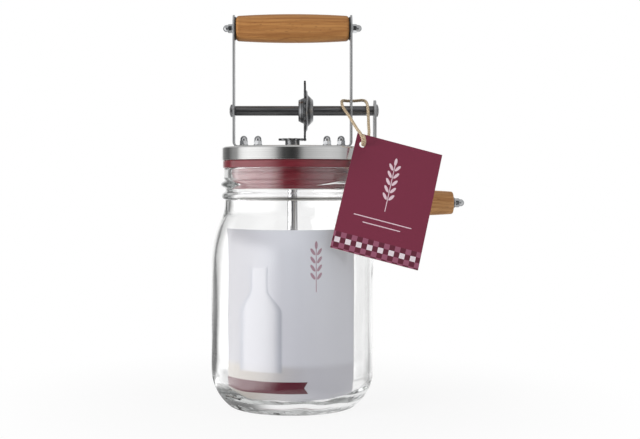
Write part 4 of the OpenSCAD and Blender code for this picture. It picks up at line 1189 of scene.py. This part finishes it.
rod_steel = two_tone("drawn rod steel", (190, 190, 192), (216, 216, 218), (BRUSH, BRUSH, 50),
                     (0, 1, 0.14, 0.3), 0.008 * MM, metallic=1.0)
rod_foot, rod_step, rod_top = rod_low[2], dasher_nut_top / MM, rod_high[2]
rod_outline = rounded([
    (0, rod_foot), (ROD_END_R, rod_foot), (ROD_END_R, rod_step), (rod_r, rod_step), (rod_r, rod_top),
    (0, rod_top)], [0, 0.2, 0, 0.2, 0.4, 0])
rod_shell = shell(turned(rod_outline, 64), wrap_cols=True)
make_piece("rod", [rod_shell], rod_steel, "dasher", "rod_steel", "dasher_rod")

# %% [markdown]
# ## The small fixed parts
# Bolts, washers, pins, the plastic core of the lid, the bush, the collar and the red paddle keep
# their CAD solids, which already have the right shape. Each gets a finish and eased edges.

# %% Plastics and dark washers
SATIN = 0.08


def moulded(name, dark, pale, rough):
    """Moulded plastic: a slow drift between two close tones, with a fine satin relief."""
    finish = new_finish(name)
    x, y, z = place(finish)
    drift = grain(x * 70, y * 70, z * 70)
    satin = grain(x * 1400, y * 1400, z * 1400, detail=2.0)
    shade(finish, satin, 0.02 * MM, base_color=paint(dark, pale, drift.spread()),
          roughness=satin.spread(0, 1, rough - SATIN, rough + SATIN))
    return finish


core_plastic = moulded("core plastic", (208, 207, 203), (224, 223, 219), 0.45)
bush_nylon = moulded("bush nylon", (216, 212, 202), (230, 227, 218), 0.4)
paddle_red = moulded("paddle plastic", (108, 34, 46), (128, 46, 58), 0.42)
# painted shade: the grip's washers are near black, standing in for the shadow gap at each end of the grip
shadow_gap_dark = moulded("shadow gap washer", (34, 31, 29), (52, 48, 45), 0.5)

# %% CAD nodes that stay
EASE = 0.2 * MM
PLATED = ["strap_bolts", "grip_rod", "knob_pin", "knob_washers", "wheel_grub_screw", "pinion_pin",
          "collar_screw", "paddle_pin"]
KEPT = {"lid_core": core_plastic, "lid_bush": bush_nylon, "rod_collar": core_plastic,
        "dasher_paddle": paddle_red, "grip_washers": shadow_gap_dark, **dict.fromkeys(PLATED, plated)}
for name, finish in KEPT.items():
    keep(name, finish, EASE)
print("kept", len(KEPT), "CAD nodes")

# %% [markdown]
# ## Studio
# The photograph has a white backdrop, a large soft light at the front left, a weaker one on the
# right, and a dark room behind the camera. Lamps light the object at a plain level and stay out
# of its reflections. What metal and glass show is the backdrop round them: white behind the jar,
# darker to its sides, which draws the edges of clear glass. It is one function of the angle round
# the jar, used by the world and by the floor. The soft lights show in perfect gloss only. Rays
# that go straight through glass see the dark stretches paler, so the jar is clear from any side.

# %% The studio round the jar
ROUND_THE_STUDIO = [  # degrees, brightness
    (-180, 0.03), (-165, 0.065), (-158, 0.22), (-151, 0.54), (-142, 0.78), (-125, 0.98), (-105, 1.05),
    (-94, 0.97), (-86, 0.75), (-80, 0.33), (-70, 0.28), (-55, 0.1), (-45, 0.14), (-30, 0.28),
    (-22, 1.0), (36, 1.0), (46, 0.5), (60, 0.45), (90, 0.42), (100, 0.58), (120, 0.64), (140, 0.57),
    (160, 0.43), (167, 0.23), (172, 0.055), (180, 0.03),
]
# each soft box: brightness, the x over which it fades in, the y over which it fades out
SOFT_BOXES = [(2.2, (-0.2, -0.72), (0.62, 0.4)), (0.5, (0.3, 0.8), (0.2, -0.1))]
PALE_LEFT, PALE_FRONT = (-0.78, -0.86), (0.0, -0.3, 0.1, 0.6)


def round_the_studio(finish, x, y, off_gloss, straight):
    """Brightness of the backdrop by the angle atan2(x, y) round the jar, 0 being straight behind it.

    Perfect gloss also shows two soft boxes, which fade in with x on either side and out with y.
    Straight through glass, the dark stretches are paler: level + (1 - level) pale."""
    ramp = add(finish, "ShaderNodeValToRGB", {0: x.math("ARCTAN2", y) / (2 * math.pi) + 0.5})
    stops = ramp.color_ramp.elements
    for degrees, level in ROUND_THE_STUDIO[1:-1]:
        stops.new((degrees + 180) / 360).color = grey(level)
    for end in (0, -1):
        stops[end].color = grey(ROUND_THE_STUDIO[end][1])
    left, right = (x.spread(*across) * y.spread(*back) * level for level, across, back in SOFT_BOXES)
    level = Field(finish, ramp.outputs[0]) + (left + right) * off_gloss
    pale = (x.spread(*PALE_LEFT) | y.spread(*PALE_FRONT)) * straight
    return level - (level - 1) * pale


def kinds_of_ray(finish):
    """Four fields of 1 or 0, for rays that a shiny or clear surface sends on, that the camera sends,
    that left perfect gloss, and that went through glass without being turned back."""
    path = {output.name: Field(finish, output) for output in add(finish, "ShaderNodeLightPath").outputs}
    sent_on = path["Is Glossy Ray"] | path["Is Transmission Ray"]
    off_gloss = path["Is Singular Ray"] * (path["Glossy Depth"] > 0.5)
    straight = path["Is Transmission Ray"] * (path["Glossy Depth"] < 0.5)
    return sent_on, path["Is Camera Ray"], off_gloss, straight


print("studio of", len(ROUND_THE_STUDIO), "stops")

# %% Backdrop
OVERHEAD, SOFT_LIGHT = 0.5, 0.57
CEILING_FROM, CEILING_FULL = 0.14, 0.45

world = bpy.data.worlds.new("studio")
bpy.context.scene.world = world
world.use_nodes = True
x, y, z = place(world, "Generated")
sent_on, from_camera, off_gloss, straight = kinds_of_ray(world)
around = round_the_studio(world, x, y, off_gloss, straight)
backdrop = paint(around, grey(OVERHEAD), z.spread(CEILING_FROM, CEILING_FULL))
lit = paint(grey(SOFT_LIGHT), backdrop, sent_on)
shown = paint(lit, grey(1), from_camera)
world.node_tree.links.new(shown, world.node_tree.nodes["Background"].inputs["Color"])
print("world has", len(world.node_tree.nodes), "nodes")

# %% Lamps
LAMPS = {  # place, size in metres, watts
    "front left softbox": ((-1.12, -0.64, 0.2), 0.8, 14.5),
    "right fill": ((0.95, -0.55, 0.45), 0.7, 1.2),
    "overhead": ((0.0, 0.15, 1.1), 0.8, 1.2),
}
LAMP_TARGET = Vector((0, 0, 0.14))
for name, (at, size, watts) in LAMPS.items():
    light = bpy.data.lights.new(name, "AREA")
    light.size, light.energy = size, watts
    lamp = bpy.data.objects.new(name, light)
    bpy.context.scene.collection.objects.link(lamp)
    lamp.location = at
    lamp.rotation_euler = (LAMP_TARGET - Vector(at)).to_track_quat("-Z", "Y").to_euler()
    lamp.visible_glossy = False
    lamp.visible_transmission = False
print("lamps:", ", ".join(LAMPS))

# %% [markdown]
# The floor is pale and matt and takes the object's shadow. Part of what the camera sees of it is
# light of its own, more so far from the jar, which lets it run into the white backdrop. In glass
# and metal its far parts take on the backdrop's dark and bright stretches, and it is dark close
# to the jar's left side, so the edges of the jar are drawn down to its foot.

# %% Floor
FLOOR_R, FLOOR_SIDES, FLOOR_NEAR, FLOOR_FAR = 3.0, 64, 0.08, 0.28
MIRROR_NEAR, MIRROR_FAR = 0.07, 0.085
LEFT_FROM, LEFT_FULL, LEFT_SHADE = -0.3, -0.7, 0.2
GLOW_NEAR, GLOW_FAR = 0.85, 1.0

floor_finish = new_finish("pale floor", base_color=grey(0.9), roughness=1.0, specular_ior_level=0.0)
x, y, _ = place(floor_finish)
from_axis = radius_of(x, y)
to_right = x / from_axis
sent_on, from_camera, off_gloss, straight = kinds_of_ray(floor_finish)
around = round_the_studio(floor_finish, to_right, y / from_axis, off_gloss, straight)
beside_jar = to_right.spread(LEFT_FROM, LEFT_FULL, 1.0, LEFT_SHADE)
in_mirrors = paint(beside_jar, around, from_axis.spread(MIRROR_NEAR, MIRROR_FAR))
glow = add(floor_finish, "ShaderNodeEmission", {"Color": paint(grey(1), in_mirrors, sent_on)})
share = (sent_on | from_camera) * from_axis.spread(FLOOR_NEAR, FLOOR_FAR, GLOW_NEAR, GLOW_FAR)
floor_nodes = floor_finish.node_tree.nodes
matt = floor_nodes["Principled BSDF"].outputs[0]
mixed = add(floor_finish, "ShaderNodeMixShader", {0: share, 1: matt, 2: glow.outputs[0]})
floor_finish.node_tree.links.new(mixed.outputs[0], floor_nodes["Material Output"].inputs["Surface"])
floor_turn = full_turn(FLOOR_SIDES)
floor_ring = FLOOR_R * np.stack([np.cos(floor_turn), np.sin(floor_turn), 0 * floor_turn], -1)
floor_mesh = bpy.data.meshes.new("floor")
floor_mesh.from_pydata(floor_ring[0].tolist(), [], [list(range(FLOOR_SIDES))])
floor_mesh.materials.append(floor_finish)
floor = bpy.data.objects.new("floor", floor_mesh)
bpy.context.scene.collection.objects.link(floor)
print("floor:", 2 * FLOOR_R, "m across")

# %% [markdown]
# Light that enters the thick base is turned back many times before it leaves, so it is followed
# for more steps than usual. The colours are shown as they are.

# %% View and light paths
GLASS_STEPS = 40

paths = bpy.context.scene.cycles
paths.max_bounces = paths.transmission_bounces = paths.glossy_bounces = GLASS_STEPS
bpy.context.scene.view_settings.view_transform = "Standard"
